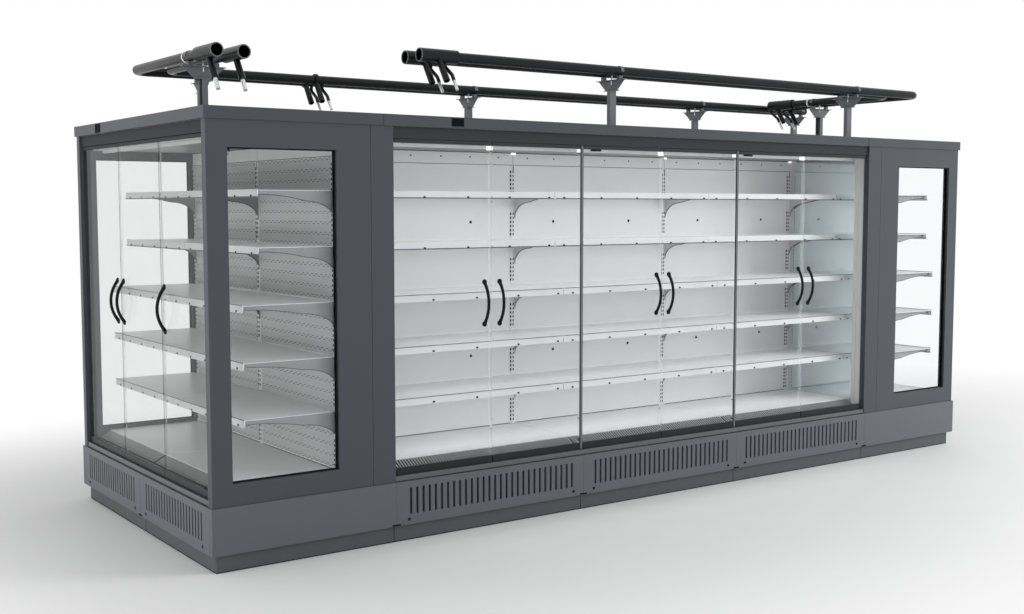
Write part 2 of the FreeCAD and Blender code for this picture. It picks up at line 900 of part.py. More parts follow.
def header_pipes():
    """Two pairs of header pipes: one along the front and right sides, one along the left and rear."""
    upper = header_top + upper_pipe_clearance
    lower = header_top + lower_pipe_clearance
    to_right = Vector(1, 0, 0)
    to_rear = Vector(0, 1, 0)
    solids = []
    for inset in (0, pipe_spacing):
        front_y = front_pipe_inset + inset - half_width
        right_x = half_length - right_pipe_inset - inset
        start = Vector(front_open_end - half_length, front_y, upper)
        end = Vector(right_x, half_width - right_open_end, upper)
        route = [start, Vector(right_x, front_y, upper), end]
        sleeves = [(start, start + to_right * sleeve_length), (end, end - to_rear * sleeve_length)]
        drops = drop_lines(start + to_right * stub_from_end, to_right)
        drops += drop_lines(end - to_rear * stub_from_right_end, to_rear)
        solids.append(header_pipe(route, sleeves, drops))

        left_x = left_pipe_inset + inset - half_length
        rear_y = half_width - rear_pipe_inset - inset
        start = Vector(left_x, left_open_end - half_width, lower)
        end = Vector(half_length - rear_pipe_end, rear_y, lower)
        route = [start, Vector(left_x, rear_y, lower), end]
        collar = Vector(rear_collar_place - half_length, rear_y, lower)
        half_collar = to_right * (collar_length / 2)
        sleeves = [(start, start + to_rear * sleeve_length), (collar - half_collar, collar + half_collar)]
        drops = tipped_stub(start + to_rear * stub_from_end) + drop_lines(collar, to_right)
        solids.append(header_pipe(route, sleeves, drops))
    return solids


# ---- Pipe stands ----

def pipe_stand(axis_height):
    """A channel post on a foot plate, with a tapered bracket and two saddles, for pipes along x."""
    top = axis_height - pipe_radius - saddle_height
    base = top - bracket_height
    half = post_width / 2
    outline = [
        (-half, 0), (half, 0), (half, post_depth), (half - post_wall, post_depth), (half - post_wall, post_wall),
        (post_wall - half, post_wall), (post_wall - half, post_depth), (-half, post_depth),
    ]
    foot_top = roof_sheet_top + post_wall
    foot = box((-post_foot_width / 2, post_foot_width / 2), (-post_foot_width / 2, post_foot_width / 2),
               (roof_sheet_top, foot_top))
    post = along_z(outline, foot_top, base)
    post.translate(Vector(0, -post_depth / 2, 0))
    wide = bracket_top_width / 2
    narrow = bracket_foot_width / 2
    gusset = along_x([(-narrow, base), (narrow, base), (wide, top), (-wide, top)], -bracket_plate / 2, bracket_plate / 2)
    flange = (-bracket_flange_width / 2, bracket_flange_width / 2)
    upper = box(flange, (-wide, wide), (top - post_wall, top))
    lower = box(flange, (-narrow, narrow), (base, base + post_wall))
    saddles = []
    for y in (-pipe_spacing / 2, pipe_spacing / 2):
        block = box((-saddle_width / 2, saddle_width / 2), (y - saddle_width / 2, y + saddle_width / 2),
                    (top, top + saddle_height))
        saddles.append(block)
    bracket = gusset.fuse([upper, lower] + saddles).removeSplitter()
    return [foot.fuse(post), bracket]


def stand_places():
    """The (x, y, turn, axis height) of every stand, where turn is the heading of its pipes."""
    upper = header_top + upper_pipe_clearance
    lower = header_top + lower_pipe_clearance
    middle = pipe_spacing / 2
    front_y = front_pipe_inset + middle - half_width
    rear_y = half_width - rear_pipe_inset - middle
    places = [(x, front_y, 0, upper) for x in (front_post_place - half_length, run_length / 2)]
    places.append((half_length - right_pipe_inset - middle, right_post_place - half_width, 90, upper))
    places.append((left_pipe_inset + middle - half_length, left_post_place - half_width, 90, lower))
    rear_x = [place - half_length for place in rear_post_places] + [half_length - rear_end_post_place]
    places += [(x, rear_y, 0, lower) for x in rear_x]
    return places


def pipe_stands():
    """The stands that hold the header pipes over the roof."""
    solids = []
    for x, y, turn, axis_height in stand_places():
        for piece in pipe_stand(axis_height):
            piece.Placement = Placement(Vector(x, y, 0), Rotation(Vector(0, 0, 1), turn)).multiply(piece.Placement)
            solids.append(piece)
    return solids


# ---- Write every sub-part ----

BODY_NODES = [
    plinth, skirt_panels, vent_grilles, top_fascia, side_panels, window_panes, roof_shell, base_tub, core_wall,
    back_panels, display_decks, slotted_uprights, shelves, shelf_brackets, price_rails, door_headers,
    door_sills, mullions, return_grilles, mirror_panels, light_strips, evaporators, header_pipes, pipe_stands,
]


def build():
    """Write the body's sub-parts, and the glass and the fittings of every door."""
    os.makedirs("parts", exist_ok=True)
    for make in BODY_NODES:
        save(make.__name__, make())
    for side in SIDES:
        for number, leaf in enumerate(door_leaves(side), start=1):
            name = f"{side}_door_{number}"
            save(f"{name}_glass", [on_side(door_glass(*leaf), side)])
            save(f"{name}_fittings", [on_side(piece, side) for piece in door_fittings(*leaf)])


build()
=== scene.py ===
"""Looks of the glass-door multideck island.

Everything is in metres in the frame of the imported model: origin on the floor at the centre of the
footprint, +X along the length, +Z up. Most pieces are drawn in the frame of one of the four sides:
x runs to the right for someone facing that side, y goes inward from its outer face, and z goes up.
"""

import json
import logging
import math
from dataclasses import dataclass
from enum import Enum
from typing import Iterable, Optional, Sequence

import bmesh
import bpy
import numpy as np
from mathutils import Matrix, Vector


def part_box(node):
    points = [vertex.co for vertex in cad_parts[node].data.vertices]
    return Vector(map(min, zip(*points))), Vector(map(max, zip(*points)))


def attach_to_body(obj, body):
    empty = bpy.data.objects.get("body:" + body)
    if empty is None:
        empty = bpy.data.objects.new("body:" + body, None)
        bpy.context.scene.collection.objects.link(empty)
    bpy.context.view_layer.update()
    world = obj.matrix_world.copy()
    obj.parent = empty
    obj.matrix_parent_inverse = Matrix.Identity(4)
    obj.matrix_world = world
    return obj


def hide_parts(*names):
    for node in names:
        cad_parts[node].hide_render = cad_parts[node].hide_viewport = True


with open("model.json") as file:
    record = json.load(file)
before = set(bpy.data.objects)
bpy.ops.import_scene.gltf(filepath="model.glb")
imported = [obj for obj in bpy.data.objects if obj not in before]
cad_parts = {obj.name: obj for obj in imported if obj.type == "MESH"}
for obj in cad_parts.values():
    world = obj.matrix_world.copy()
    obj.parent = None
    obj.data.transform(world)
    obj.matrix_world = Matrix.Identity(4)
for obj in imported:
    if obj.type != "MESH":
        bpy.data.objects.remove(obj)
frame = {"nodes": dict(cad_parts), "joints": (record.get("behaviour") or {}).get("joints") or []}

LOG = logging.getLogger("island")
Colour = tuple[float, float, float]
Span = tuple[float, float]
EAST, NORTH, UP = np.eye(3)


# ---- Layout ----

@dataclass(frozen=True)
class Layout:
    """Main sizes that the pieces share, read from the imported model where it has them."""

    half_length: float
    half_width: float
    run_half: float = 1.875
    head_half: float = 0.9375
    skirt_base: float = 0.090
    skirt_top: float = 0.321
    sill_top: float = 0.351
    deck_top: float = 0.410
    door_base: float = 0.354
    door_top: float = 2.100
    header_base: float = 2.103
    header_top: float = 2.164
    canopy_base: float = 2.083
    lower_back_top: float = 2.007
    back_face: float = 0.700
    upright_front: float = 0.697
    shelf_tops: tuple[float, ...] = (0.719, 0.998, 1.277, 1.556, 1.835)
    shelf_fronts: tuple[float, ...] = (0.194, 0.194, 0.194, 0.280, 0.280)

    def kick_inset(self, side: "Side") -> float:
        """How far the kick board of a side stands back from the side's outer face."""
        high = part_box("plinth")[1]
        return self.half_width - high.y if side.is_run else self.half_length - high.x

    @classmethod
    def from_frame(cls) -> "Layout":
        """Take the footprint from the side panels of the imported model."""
        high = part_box("side_panels")[1]
        return cls(half_length=high.x, half_width=high.y)


LAYOUT = Layout.from_frame()


class Side(Enum):
    """The four sides of the island."""

    FRONT = "front"
    REAR = "rear"
    LEFT = "left"
    RIGHT = "right"

    @property
    def is_run(self) -> bool:
        """Whether this is one of the two long sides."""
        return self in (Side.FRONT, Side.REAR)

    @property
    def half_span(self) -> float:
        """Half of the opening between the side's end walls."""
        return LAYOUT.run_half if self.is_run else LAYOUT.head_half

    @property
    def lines(self) -> np.ndarray:
        """The x of every upright, at the ends of the compartments."""
        return np.linspace(-self.half_span, self.half_span, 4 if self.is_run else 3)

    @property
    def upright_x(self) -> np.ndarray:
        """The x of each upright, with the end ones drawn in beside the end walls."""
        limit = self.half_span - 0.024
        return np.clip(self.lines, -limit, limit)

    @property
    def compartments(self) -> list[Span]:
        """The x span of each compartment."""
        lines = self.lines
        return list(zip(lines[:-1] + 0.006, lines[1:] - 0.006))

    def place(self, points: np.ndarray) -> np.ndarray:
        """Move points from this side's frame to the frame of the part.

        Args:
            points: Rows of x, y and z in the side's frame.

        Returns:
            The same rows in the frame of the part.
        """
        x, y, z = np.moveaxis(np.asarray(points, float), -1, 0)
        length, width = LAYOUT.half_length, LAYOUT.half_width
        placed = {
            Side.FRONT: (x, y - width, z),
            Side.REAR: (-x, width - y, z),
            Side.LEFT: (y - length, -x, z),
            Side.RIGHT: (length - y, x, z),
        }
        return np.stack(placed[self], axis=-1)

    def localise(self, points: np.ndarray) -> np.ndarray:
        """Move points from the frame of the part to this side's frame.

        Args:
            points: Rows of x, y and z in the frame of the part.

        Returns:
            The same rows in the side's frame.
        """
        x, y, z = np.moveaxis(np.asarray(points, float), -1, 0)
        length, width = LAYOUT.half_length, LAYOUT.half_width
        local = {
            Side.FRONT: (x, y + width, z),
            Side.REAR: (-x, width - y, z),
            Side.LEFT: (-y, x + length, z),
            Side.RIGHT: (y, length - x, z),
        }
        return np.stack(local[self], axis=-1)

    def heading(self, x: float, y: float) -> np.ndarray:
        """A level direction of this side's frame, turned to the frame of the part."""
        ends = self.place(np.array([[x, y, 0.0], [0.0, 0.0, 0.0]]))
        return ends[0] - ends[1]


# ---- Surfaces ----

def about(middle: np.ndarray, half: float) -> np.ndarray:
    """A row for each middle: the span that reaches as far as half to both sides of it."""
    return np.column_stack([middle - half, middle + half])


CUBE_CORNERS = np.array([[i, j, k] for i in (0, 1) for j in (0, 1) for k in (0, 1)], float)
CUBE_FACES = np.array([[0, 1, 3, 2], [4, 6, 7, 5], [0, 4, 5, 1], [2, 3, 7, 6], [0, 2, 6, 4], [1, 5, 7, 3]])


class Shell:
    """Closed surfaces that become one mesh."""

    def __init__(self) -> None:
        self._points: list[np.ndarray] = []
        self._faces: list[list[int]] = []
        self._count = 0

    def add(self, points: np.ndarray, faces: Iterable[Sequence[int]]) -> None:
        """Take in points and the faces between them.

        Args:
            points: Rows of x, y and z.
            faces: Lists of row numbers, one list to a face.
        """
        self._points.append(np.asarray(points, float).reshape(-1, 3))
        self._faces += [[index + self._count for index in face] for face in faces]
        self._count += len(self._points[-1])

    def boxes(self, side: Optional[Side], x: np.ndarray, y: np.ndarray, z: np.ndarray) -> None:
        """Blocks: each corner is the low end of the three spans, or their high end, in every mix.

        Args:
            side: The side whose frame the spans are in, or None for the part's frame.
            x, y, z: A span, or rows of spans, for each direction.
        """
        spans = [np.atleast_2d(np.asarray(span, float)) for span in (x, y, z)]
        count = max(len(span) for span in spans)
        spans = [np.broadcast_to(span, (count, 2)) for span in spans]
        low = np.stack([span.min(axis=1) for span in spans], axis=1)
        high = np.stack([span.max(axis=1) for span in spans], axis=1)
        points = low[:, None, :] + CUBE_CORNERS[None] * (high - low)[:, None, :]
        if side is not None:
            points = side.place(points)
        faces = CUBE_FACES[None] + 8 * np.arange(count)[:, None, None]
        self.add(points, faces.reshape(-1, 4).tolist())

    def grid(self, points: np.ndarray, wrap_u: bool = False, wrap_v: bool = True, caps: bool = True) -> None:
        """A surface over two parameters: u runs along the rows and v across them.

        Args:
            points: Points by row, column and x, y, z.
            wrap_u: Whether the last row joins the first.
            wrap_v: Whether the last column joins the first.
            caps: Whether the first and last rows are closed, if the rows don't join.
        """
        rows, columns = points.shape[:2]
        number = np.arange(rows * columns).reshape(rows, columns)
        near = number if wrap_u else number[:-1]
        far = np.roll(number, -1, axis=0) if wrap_u else number[1:]
        if wrap_v:
            quads = np.stack([near, np.roll(near, -1, axis=1), np.roll(far, -1, axis=1), far], axis=-1)
        else:
            quads = np.stack([near[:, :-1], near[:, 1:], far[:, 1:], far[:, :-1]], axis=-1)
        faces = quads.reshape(-1, 4).tolist()
        if caps and not wrap_u:
            faces += [number[0][::-1].tolist(), number[-1].tolist()]
        self.add(points, faces)

    def prism(self, side: Optional[Side], outline: np.ndarray, x: Span) -> None:
        """An outline swept straight from one x to the other.

        Args:
            side: The side whose frame the outline is in, or None for the part's frame.
            outline: Rows of y and z.
            x: The two ends of the sweep.
        """
        outline = np.asarray(outline, float)
        ends = [np.column_stack([np.full(len(outline), end), outline]) for end in x]
        points = np.stack(ends)
        self.grid(points if side is None else side.place(points))

    def frame_round(self, side: Side, x: Span, z: Span, section: np.ndarray) -> None:
        """A picture frame: a section carried round a rectangle with mitred corners.

        Args:
            side: The side whose frame the rectangle is in.
            x, z: The spans of the rectangle.
            section: Rows of the distance outward from the rectangle and of y.
        """
        section = np.asarray(section, float)
        corners = np.array([[x[0], z[0], -1, -1], [x[1], z[0], 1, -1], [x[1], z[1], 1, 1], [x[0], z[1], -1, 1]])
        out = section[None, :, 0]
        points = np.stack([
            corners[:, None, 0] + corners[:, None, 2] * out,
            np.broadcast_to(section[None, :, 1], (4, len(section))),
            corners[:, None, 1] + corners[:, None, 3] * out,
        ], axis=-1)
        self.grid(side.place(points), wrap_u=True)

    def tube(self, path: np.ndarray, plane_normal: Sequence[float], radius: object, sides: int = 24) -> None:
        """A round tube on a flat path: each ring is a circle square to the path, radius cos t along the
        plane's own normal plus radius sin t across the path.

        Args:
            path: Rows of x, y and z.
            plane_normal: A unit vector square to the plane of the path.
            radius: One radius, or one for each row of the path.
            sides: How many points each ring has.
        """
        path = np.asarray(path, float)
        flat = np.asarray(plane_normal, float)
        tangent = np.gradient(path, axis=0)
        tangent /= np.linalg.norm(tangent, axis=1)[:, None]
        across = np.cross(tangent, flat)
        angle = np.linspace(0, 2 * math.pi, sides, endpoint=False)
        reach = np.broadcast_to(np.asarray(radius, float), (len(path),))[:, None, None]
        ring = np.cos(angle)[None, :, None] * flat + np.sin(angle)[None, :, None] * across[:, None, :]
        self.grid(path[:, None, :] + reach * ring)

    def turned(self, profile: np.ndarray, start: Sequence[float], axis: Sequence[float], sides: int = 24) -> None:
        """A turned part: each point of the profile goes round the axis once, as a circle.

        Args:
            profile: Rows of the distance along the axis and of the radius.
            start: The point on the axis that the distances start from.
            axis: The way that the axis runs.
            sides: How many points each circle has.
        """
        profile = np.asarray(profile, float)
        axis = np.asarray(axis, float) / np.linalg.norm(axis)
        spare = np.array([0.0, 0.0, 1.0]) if abs(axis[2]) < 0.9 else np.array([1.0, 0.0, 0.0])
        first = np.cross(axis, spare)
        first /= np.linalg.norm(first)
        second = np.cross(axis, first)
        angle = np.linspace(0, 2 * math.pi, sides, endpoint=False)
        circle = np.cos(angle)[:, None] * first + np.sin(angle)[:, None] * second
        centres = np.asarray(start, float) + profile[:, :1] * axis
        self.grid(centres[:, None, :] + profile[:, 1, None, None] * circle[None])

    def build(self, name: str) -> bpy.types.Object:
        """Make the Blender object, with every face turned outward and only sharp folds left sharp.

        Args:
            name: The object's name.

        Returns:
            The new object, at the origin.
        """
        mesh = bpy.data.meshes.new(name)
        mesh.from_pydata(np.concatenate(self._points).tolist(), [], self._faces)
        work = bmesh.new()
        work.from_mesh(mesh)
        bmesh.ops.recalc_face_normals(work, faces=work.faces)
        work.to_mesh(mesh)
        work.free()
        mesh.polygons.foreach_set("use_smooth", np.ones(len(mesh.polygons), bool))
        mesh.set_sharp_from_angle(angle=math.radians(32))
        made = bpy.data.objects.new(name, mesh)
        bpy.context.scene.collection.objects.link(made)
        return made


# ---- Finishes ----

class Kind(Enum):
    """How a finish is made."""

    PAINT = "paint"
    METAL = "metal"
    GLASS = "glass"
    VEIL = "veil"
    LAMP = "lamp"
    PERFORATED = "perforated"


@dataclass(frozen=True)
class Finish:
    """One finish of the island.

    Attributes:
        slot: The material slot that it belongs to.
        colour: Its base colour.
        kind: How it is made.
        roughness: The middle of its roughness.
        metallic: 1 for bare metal.
        tone: How far its colour wanders, as a share.
        spread: How far its roughness wanders.
        scale: The size of its mottling, in lumps to the metre.
        bump: The height of its surface grain, in metres.
        shine: How strongly it reflects face on; 0.5 is ordinary plastic or paint.
        glow: The strength of its own light.
        stretch: How much finer the grain is along x, y and z.
    """

    # slot: The material slot that it belongs to. It is not used.
    slot: str
    colour: Colour
    kind: Kind = Kind.PAINT
    roughness: float = 0.5
    metallic: float = 0.0
    tone: float = 0.05
    spread: float = 0.08
    scale: float = 6.0
    bump: float = 0.0002
    shine: float = 0.5
    glow: float = 0.0
    stretch: tuple[float, float, float] = (1.0, 1.0, 1.0)


FINISHES: dict[str, Finish] = {
    "casing": Finish("charcoal_paint", (0.058, 0.066, 0.076), roughness=0.42, tone=0.06, scale=4, shine=0.25),
    "kick_board": Finish("charcoal_paint", (0.084, 0.089, 0.096), roughness=0.5, tone=0.08, shine=0.2),
    # A lighter copy of the casing's charcoal paint for the skirt and vent grilles: painted bounce light from the floor.
    "grille": Finish("charcoal_paint", (0.104, 0.110, 0.124), roughness=0.4, tone=0.05, scale=4, shine=0.3),
    "white_sheet": Finish("white_paint", (0.69, 0.69, 0.69), roughness=0.4, tone=0.025, scale=3, shine=0.3),
    "white_shelf": Finish("white_paint", (0.80, 0.80, 0.80), roughness=0.34, tone=0.02, scale=3, shine=0.4),
    "bracket": Finish("white_paint", (0.56, 0.56, 0.57), roughness=0.36, tone=0.03, shine=0.3),
    # A darker copy of the bracket paint, for the brackets of the two end cases: painted shade.
    "end_bracket_painted_shade": Finish("white_paint", (0.30, 0.30, 0.305), roughness=0.36, tone=0.03, shine=0.3),
    "bracket_edge": Finish("white_paint", (0.10, 0.10, 0.105), roughness=0.4, tone=0.05, shine=0.3),
    "perforated": Finish("white_paint", (0.50, 0.50, 0.505), Kind.PERFORATED, roughness=0.45, shine=0.3),
    "frame_dark": Finish("frame_black", (0.075, 0.077, 0.080), roughness=0.4, tone=0.08, scale=8, shine=0.25),
    "frame_grey": Finish("frame_black", (0.105, 0.108, 0.113), roughness=0.36, tone=0.06, scale=8, shine=0.3),
    # The frame black darkened further for the door headers and the doors' top rails: painted shade under the fascia.
    "header_painted_shade": Finish("frame_black", (0.042, 0.044, 0.046), roughness=0.65, tone=0.08, scale=8, shine=0.08),
    "rail_black": Finish("frame_black", (0.014, 0.015, 0.016), roughness=0.4, tone=0.1, scale=12, shine=0.2),
    "gasket": Finish("frame_black", (0.010, 0.010, 0.011), roughness=0.62, tone=0.12, scale=20, shine=0.1),
    "dark_gap": Finish("frame_black", (0.008, 0.008, 0.009), roughness=0.8, tone=0.1, shine=0.05),
    "edge_seal": Finish("door_glass", (0.90, 0.90, 0.90), Kind.VEIL, roughness=0.5, tone=0.03, shine=0.1),
    "post_body": Finish("frame_black", (0.040, 0.042, 0.043), roughness=0.5, tone=0.05, shine=0.15),
    "post_cover": Finish("frame_black", (0.16, 0.165, 0.17), roughness=0.4, tone=0.05, shine=0.25),
    "grille_rib": Finish("frame_black", (0.34, 0.345, 0.35), roughness=0.35, tone=0.06, shine=0.3),
    "window_glass": Finish("window_glass", (0.96, 0.985, 0.98), Kind.GLASS, roughness=0.004, spread=0.006, scale=5),
    "door_glass": Finish("door_glass", (0.97, 0.985, 0.985), Kind.GLASS, roughness=0.004, spread=0.006, scale=5),
    # A darker tint of the door glass, for the left end's doors only: painted shade on what is seen through that end.
    "end_glass": Finish("door_glass", (0.82, 0.825, 0.82), Kind.GLASS, roughness=0.004, spread=0.006, scale=5),
    "handle": Finish("handle_black", (0.006, 0.006, 0.007), roughness=0.4, tone=0.08, scale=30, shine=0.15),
    # A grey copy of the white paint for the sheets under the ceilings: painted shade.
    "ceiling": Finish("white_paint", (0.27, 0.27, 0.275), roughness=0.4, tone=0.04, scale=3, shine=0.3),
    "rail": Finish("rail_plastic", (0.66, 0.66, 0.665), roughness=0.32, tone=0.02, scale=10, shine=0.3),
    "mirror": Finish("mirror_sheet", (0.74, 0.82, 0.84), Kind.METAL, roughness=0.03, metallic=1, tone=0.01,
                     spread=0.02),
    "lamp": Finish("lamp_cover", (0.62, 0.62, 0.61), Kind.LAMP, roughness=0.3, glow=0.04, tone=0.01),
    "spot": Finish("lamp_cover", (1.0, 0.99, 0.97), Kind.LAMP, roughness=0.3, glow=0.75, tone=0.01),
    "cream": Finish("white_paint", (0.66, 0.65, 0.61), roughness=0.4, tone=0.03, shine=0.3),
    "aluminium": Finish("bare_aluminium", (0.80, 0.81, 0.82), Kind.METAL, roughness=0.26, metallic=1, tone=0.04,
                        spread=0.1, scale=8, stretch=(1, 1, 12)),
    "fins": Finish("bare_aluminium", (0.55, 0.56, 0.57), Kind.METAL, roughness=0.4, metallic=1, tone=0.15, scale=40),
    "foam": Finish("pipe_foam", (0.0055, 0.0060, 0.0070), roughness=0.3, tone=0.15, spread=0.1, scale=14, shine=0.22),
    "foam_rim": Finish("pipe_foam", (0.16, 0.165, 0.17), roughness=0.5, tone=0.06, scale=30, shine=0.2),
    "strap_white": Finish("pipe_foam", (0.86, 0.86, 0.85), roughness=0.45, tone=0.03, scale=30),
    "galvanised": Finish("galvanised_steel", (0.150, 0.160, 0.172), Kind.METAL, roughness=0.46, metallic=0.3, tone=0.14,
                         spread=0.14, scale=22, bump=0.0003, shine=0.3),
    "bright_steel": Finish("galvanised_steel", (0.66, 0.67, 0.68), Kind.METAL, roughness=0.3, metallic=0.9, tone=0.08,
                           scale=20),
    "display": Finish("frame_black", (0.006, 0.007, 0.009), roughness=0.7, tone=0.1, shine=0.03),
    "display_bezel": Finish("frame_black", (0.022, 0.024, 0.028), roughness=0.6, tone=0.05, shine=0.1),
}


class Nodes:
    """A small hand for building a node tree."""

    def __init__(self, tree: bpy.types.NodeTree) -> None:
        self.tree = tree

    def new(self, kind: str, inputs: Optional[dict] = None, **settings: object) -> bpy.types.Node:
        """Add a node.

        Args:
            kind: The node's type name.
            inputs: Values or outgoing sockets by input name or number.
            settings: Attributes to set on the node.

        Returns:
            The node.
        """
        node = self.tree.nodes.new(kind)
        for name, value in settings.items():
            setattr(node, name, value)
        for name, value in (inputs or {}).items():
            if isinstance(value, bpy.types.NodeSocket):
                self.tree.links.new(value, node.inputs[name])
            else:
                node.inputs[name].default_value = value
        return node


def surface_grain() -> bpy.types.NodeTree:
    """The node group for mottled colour, uneven gloss and fine grain, which most finishes share.

    Returns:
        A group with Colour, Roughness and Height outputs.
    """
    group = bpy.data.node_groups.new("surface_grain", "ShaderNodeTree")
    wanted = (("Vector", "NodeSocketVector"), ("Colour", "NodeSocketColor"), ("Tone", "NodeSocketFloat"),
              ("Scale", "NodeSocketFloat"), ("Roughness", "NodeSocketFloat"), ("Spread", "NodeSocketFloat"))
    for name, kind in wanted:
        group.interface.new_socket(name=name, in_out="INPUT", socket_type=kind)
    for name, kind in (("Colour", "NodeSocketColor"), ("Roughness", "NodeSocketFloat"), ("Height", "NodeSocketFloat")):
        group.interface.new_socket(name=name, in_out="OUTPUT", socket_type=kind)
    make = Nodes(group)
    given = make.new("NodeGroupInput").outputs
    mottle = make.new("ShaderNodeTexNoise", {"Vector": given["Vector"], "Scale": given["Scale"], "Detail": 5.0})
    fine_scale = make.new("ShaderNodeMath", {0: given["Scale"], 1: 45.0}, operation="MULTIPLY")
    fine = make.new("ShaderNodeTexNoise", {"Vector": given["Vector"], "Scale": fine_scale.outputs[0], "Detail": 3.0})
    both = make.new("ShaderNodeMath", {0: mottle.outputs[0], 1: fine.outputs[0]}, operation="ADD")
    centred = make.new("ShaderNodeMath", {0: both.outputs[0], 1: 1.0}, operation="SUBTRACT")
    shade = make.new("ShaderNodeMath", {0: centred.outputs[0], 1: given["Tone"], 2: 1.0}, operation="MULTIPLY_ADD")
    tinted = make.new("ShaderNodeVectorMath", {0: given["Colour"], "Scale": shade.outputs[0]}, operation="SCALE")
    gloss = make.new("ShaderNodeMath", {0: centred.outputs[0], 1: given["Spread"], 2: given["Roughness"]},
                     operation="MULTIPLY_ADD", use_clamp=True)
    make.new("NodeGroupOutput", {"Colour": tinted.outputs[0], "Roughness": gloss.outputs[0],
                                 "Height": fine.outputs[0]})
    return group


class Palette:
    """Makes each material once."""

    def __init__(self) -> None:
        self._grain = surface_grain()
        self._made: dict[str, bpy.types.Material] = {}

    def material(self, name: str) -> bpy.types.Material:
        """The material of a finish.

        Args:
            name: A key of FINISHES.

        Returns:
            Its material.
        """
        if name not in self._made:
            self._made[name] = self._make(name, FINISHES[name])
        return self._made[name]

    def _make(self, name: str, finish: Finish) -> bpy.types.Material:
        """Build the node tree of one finish.

        Args:
            name: The name of the material.
            finish: What it is like.

        Returns:
            The new material.
        """
        material = bpy.data.materials.new(name)
        material.use_nodes = True
        material.node_tree.nodes.clear()
        make = Nodes(material.node_tree)
        place = make.new("ShaderNodeTexCoord").outputs["Object"]
        if finish.stretch != (1.0, 1.0, 1.0):
            place = make.new("ShaderNodeMapping", {"Vector": place, "Scale": finish.stretch}).outputs[0]
        colour = (*finish.colour, 1.0)
        grain = make.new("ShaderNodeGroup", node_tree=self._grain)
        for key, value in (("Colour", colour), ("Tone", finish.tone), ("Scale", finish.scale),
                           ("Roughness", finish.roughness), ("Spread", finish.spread)):
            grain.inputs[key].default_value = value
        make.tree.links.new(place, grain.inputs["Vector"])
        tint = grain.outputs["Colour"]
        if finish.kind is Kind.PERFORATED:
            tint = self._perforate(make, place, tint)
        inputs = {"Base Color": tint, "Roughness": grain.outputs["Roughness"], "Metallic": finish.metallic,
                  "Specular IOR Level": finish.shine}
        if finish.kind is Kind.GLASS:
            inputs.update({"Transmission Weight": 1.0, "IOR": 1.12, "Metallic": 0.0, "Specular IOR Level": 0.5})
        else:
            bump = make.new("ShaderNodeBump", {"Height": grain.outputs["Height"], "Strength": 0.35,
                                               "Distance": finish.bump})
            inputs["Normal"] = bump.outputs[0]
        if finish.kind is Kind.VEIL:
            inputs["Alpha"] = 0.08
        if finish.kind is Kind.LAMP:
            inputs.update({"Emission Color": tint, "Emission Strength": finish.glow})
        shader = make.new("ShaderNodeBsdfPrincipled", inputs).outputs[0]
        if finish.kind is Kind.GLASS:
            clear = make.new("ShaderNodeBsdfTransparent", {"Color": colour}).outputs[0]
            is_shadow = make.new("ShaderNodeLightPath").outputs["Is Shadow Ray"]
            shader = make.new("ShaderNodeMixShader", {0: is_shadow, 1: shader, 2: clear}).outputs[0]
        make.new("ShaderNodeOutputMaterial", {"Surface": shader})
        return material

    @staticmethod
    def _perforate(make: Nodes, place: bpy.types.NodeSocket, tint: bpy.types.NodeSocket) -> bpy.types.NodeSocket:
        """Darken a colour in rows of short level dashes, each row a pair of lines with their dashes in turn.

        Each axis is a sawtooth of its place over the pitch, and a dash is where both are low.

        Args:
            make: The tree to build in.
            place: The socket that gives the place on the object.
            tint: The socket that gives the colour.

        Returns:
            The socket with the darkened colour.
        """
        apart = make.new("ShaderNodeSeparateXYZ", {0: place}).outputs
        lines = []
        for shift_y, shift_z in ((0.0, 0.0), (0.5, 0.17)):
            masks = []
            for axis, pitch, share, shift in ((1, 0.052, 0.42, shift_y), (2, 0.054, 0.075, shift_z)):
                steps = make.new("ShaderNodeMath", {0: apart[axis], 1: 1 / pitch, 2: shift}, operation="MULTIPLY_ADD")
                saw = make.new("ShaderNodeMath", {0: steps.outputs[0]}, operation="FRACT")
                masks.append(make.new("ShaderNodeMath", {0: saw.outputs[0], 1: share}, operation="LESS_THAN"))
            lines.append(make.new("ShaderNodeMath", {0: masks[0].outputs[0], 1: masks[1].outputs[0]},
                                  operation="MULTIPLY"))
        both = make.new("ShaderNodeMath", {0: lines[0].outputs[0], 1: lines[1].outputs[0]}, operation="MAXIMUM")
        shade = make.new("ShaderNodeMath", {0: both.outputs[0], 1: -0.72, 2: 1.0}, operation="MULTIPLY_ADD")
        return make.new("ShaderNodeVectorMath", {0: tint, "Scale": shade.outputs[0]}, operation="SCALE").outputs[0]


PALETTE = Palette()


def attach(shell: Shell, name: str, finish: str, body: str = "cabinet", bevel: float = 0.0,
           replaces: Sequence[str] = ()) -> bpy.types.Object:
    """Turn a shell into a finished piece that rides on a body.

    Args:
        shell: The piece's surfaces.
        name: The piece's name.
        finish: A key of FINISHES.
        body: The body that it moves with.
        bevel: The width of its rounded edges, or 0 for none.
        replaces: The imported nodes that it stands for.

    Returns:
        The new object.
    """
    piece = shell.build(name)
    piece.data.materials.append(PALETTE.material(finish))
    if bevel:
        rounding = piece.modifiers.new("rounded_edges", "BEVEL")
        rounding.width = bevel
        rounding.segments = 2
        rounding.limit_method = "ANGLE"
        rounding.angle_limit = math.radians(40)
        rounding.harden_normals = True
    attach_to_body(piece, body)
    if replaces:
        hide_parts(*replaces)
    LOG.info("%s: %d faces, finish %s, on %s", name, len(piece.data.polygons), finish, body)
    return piece


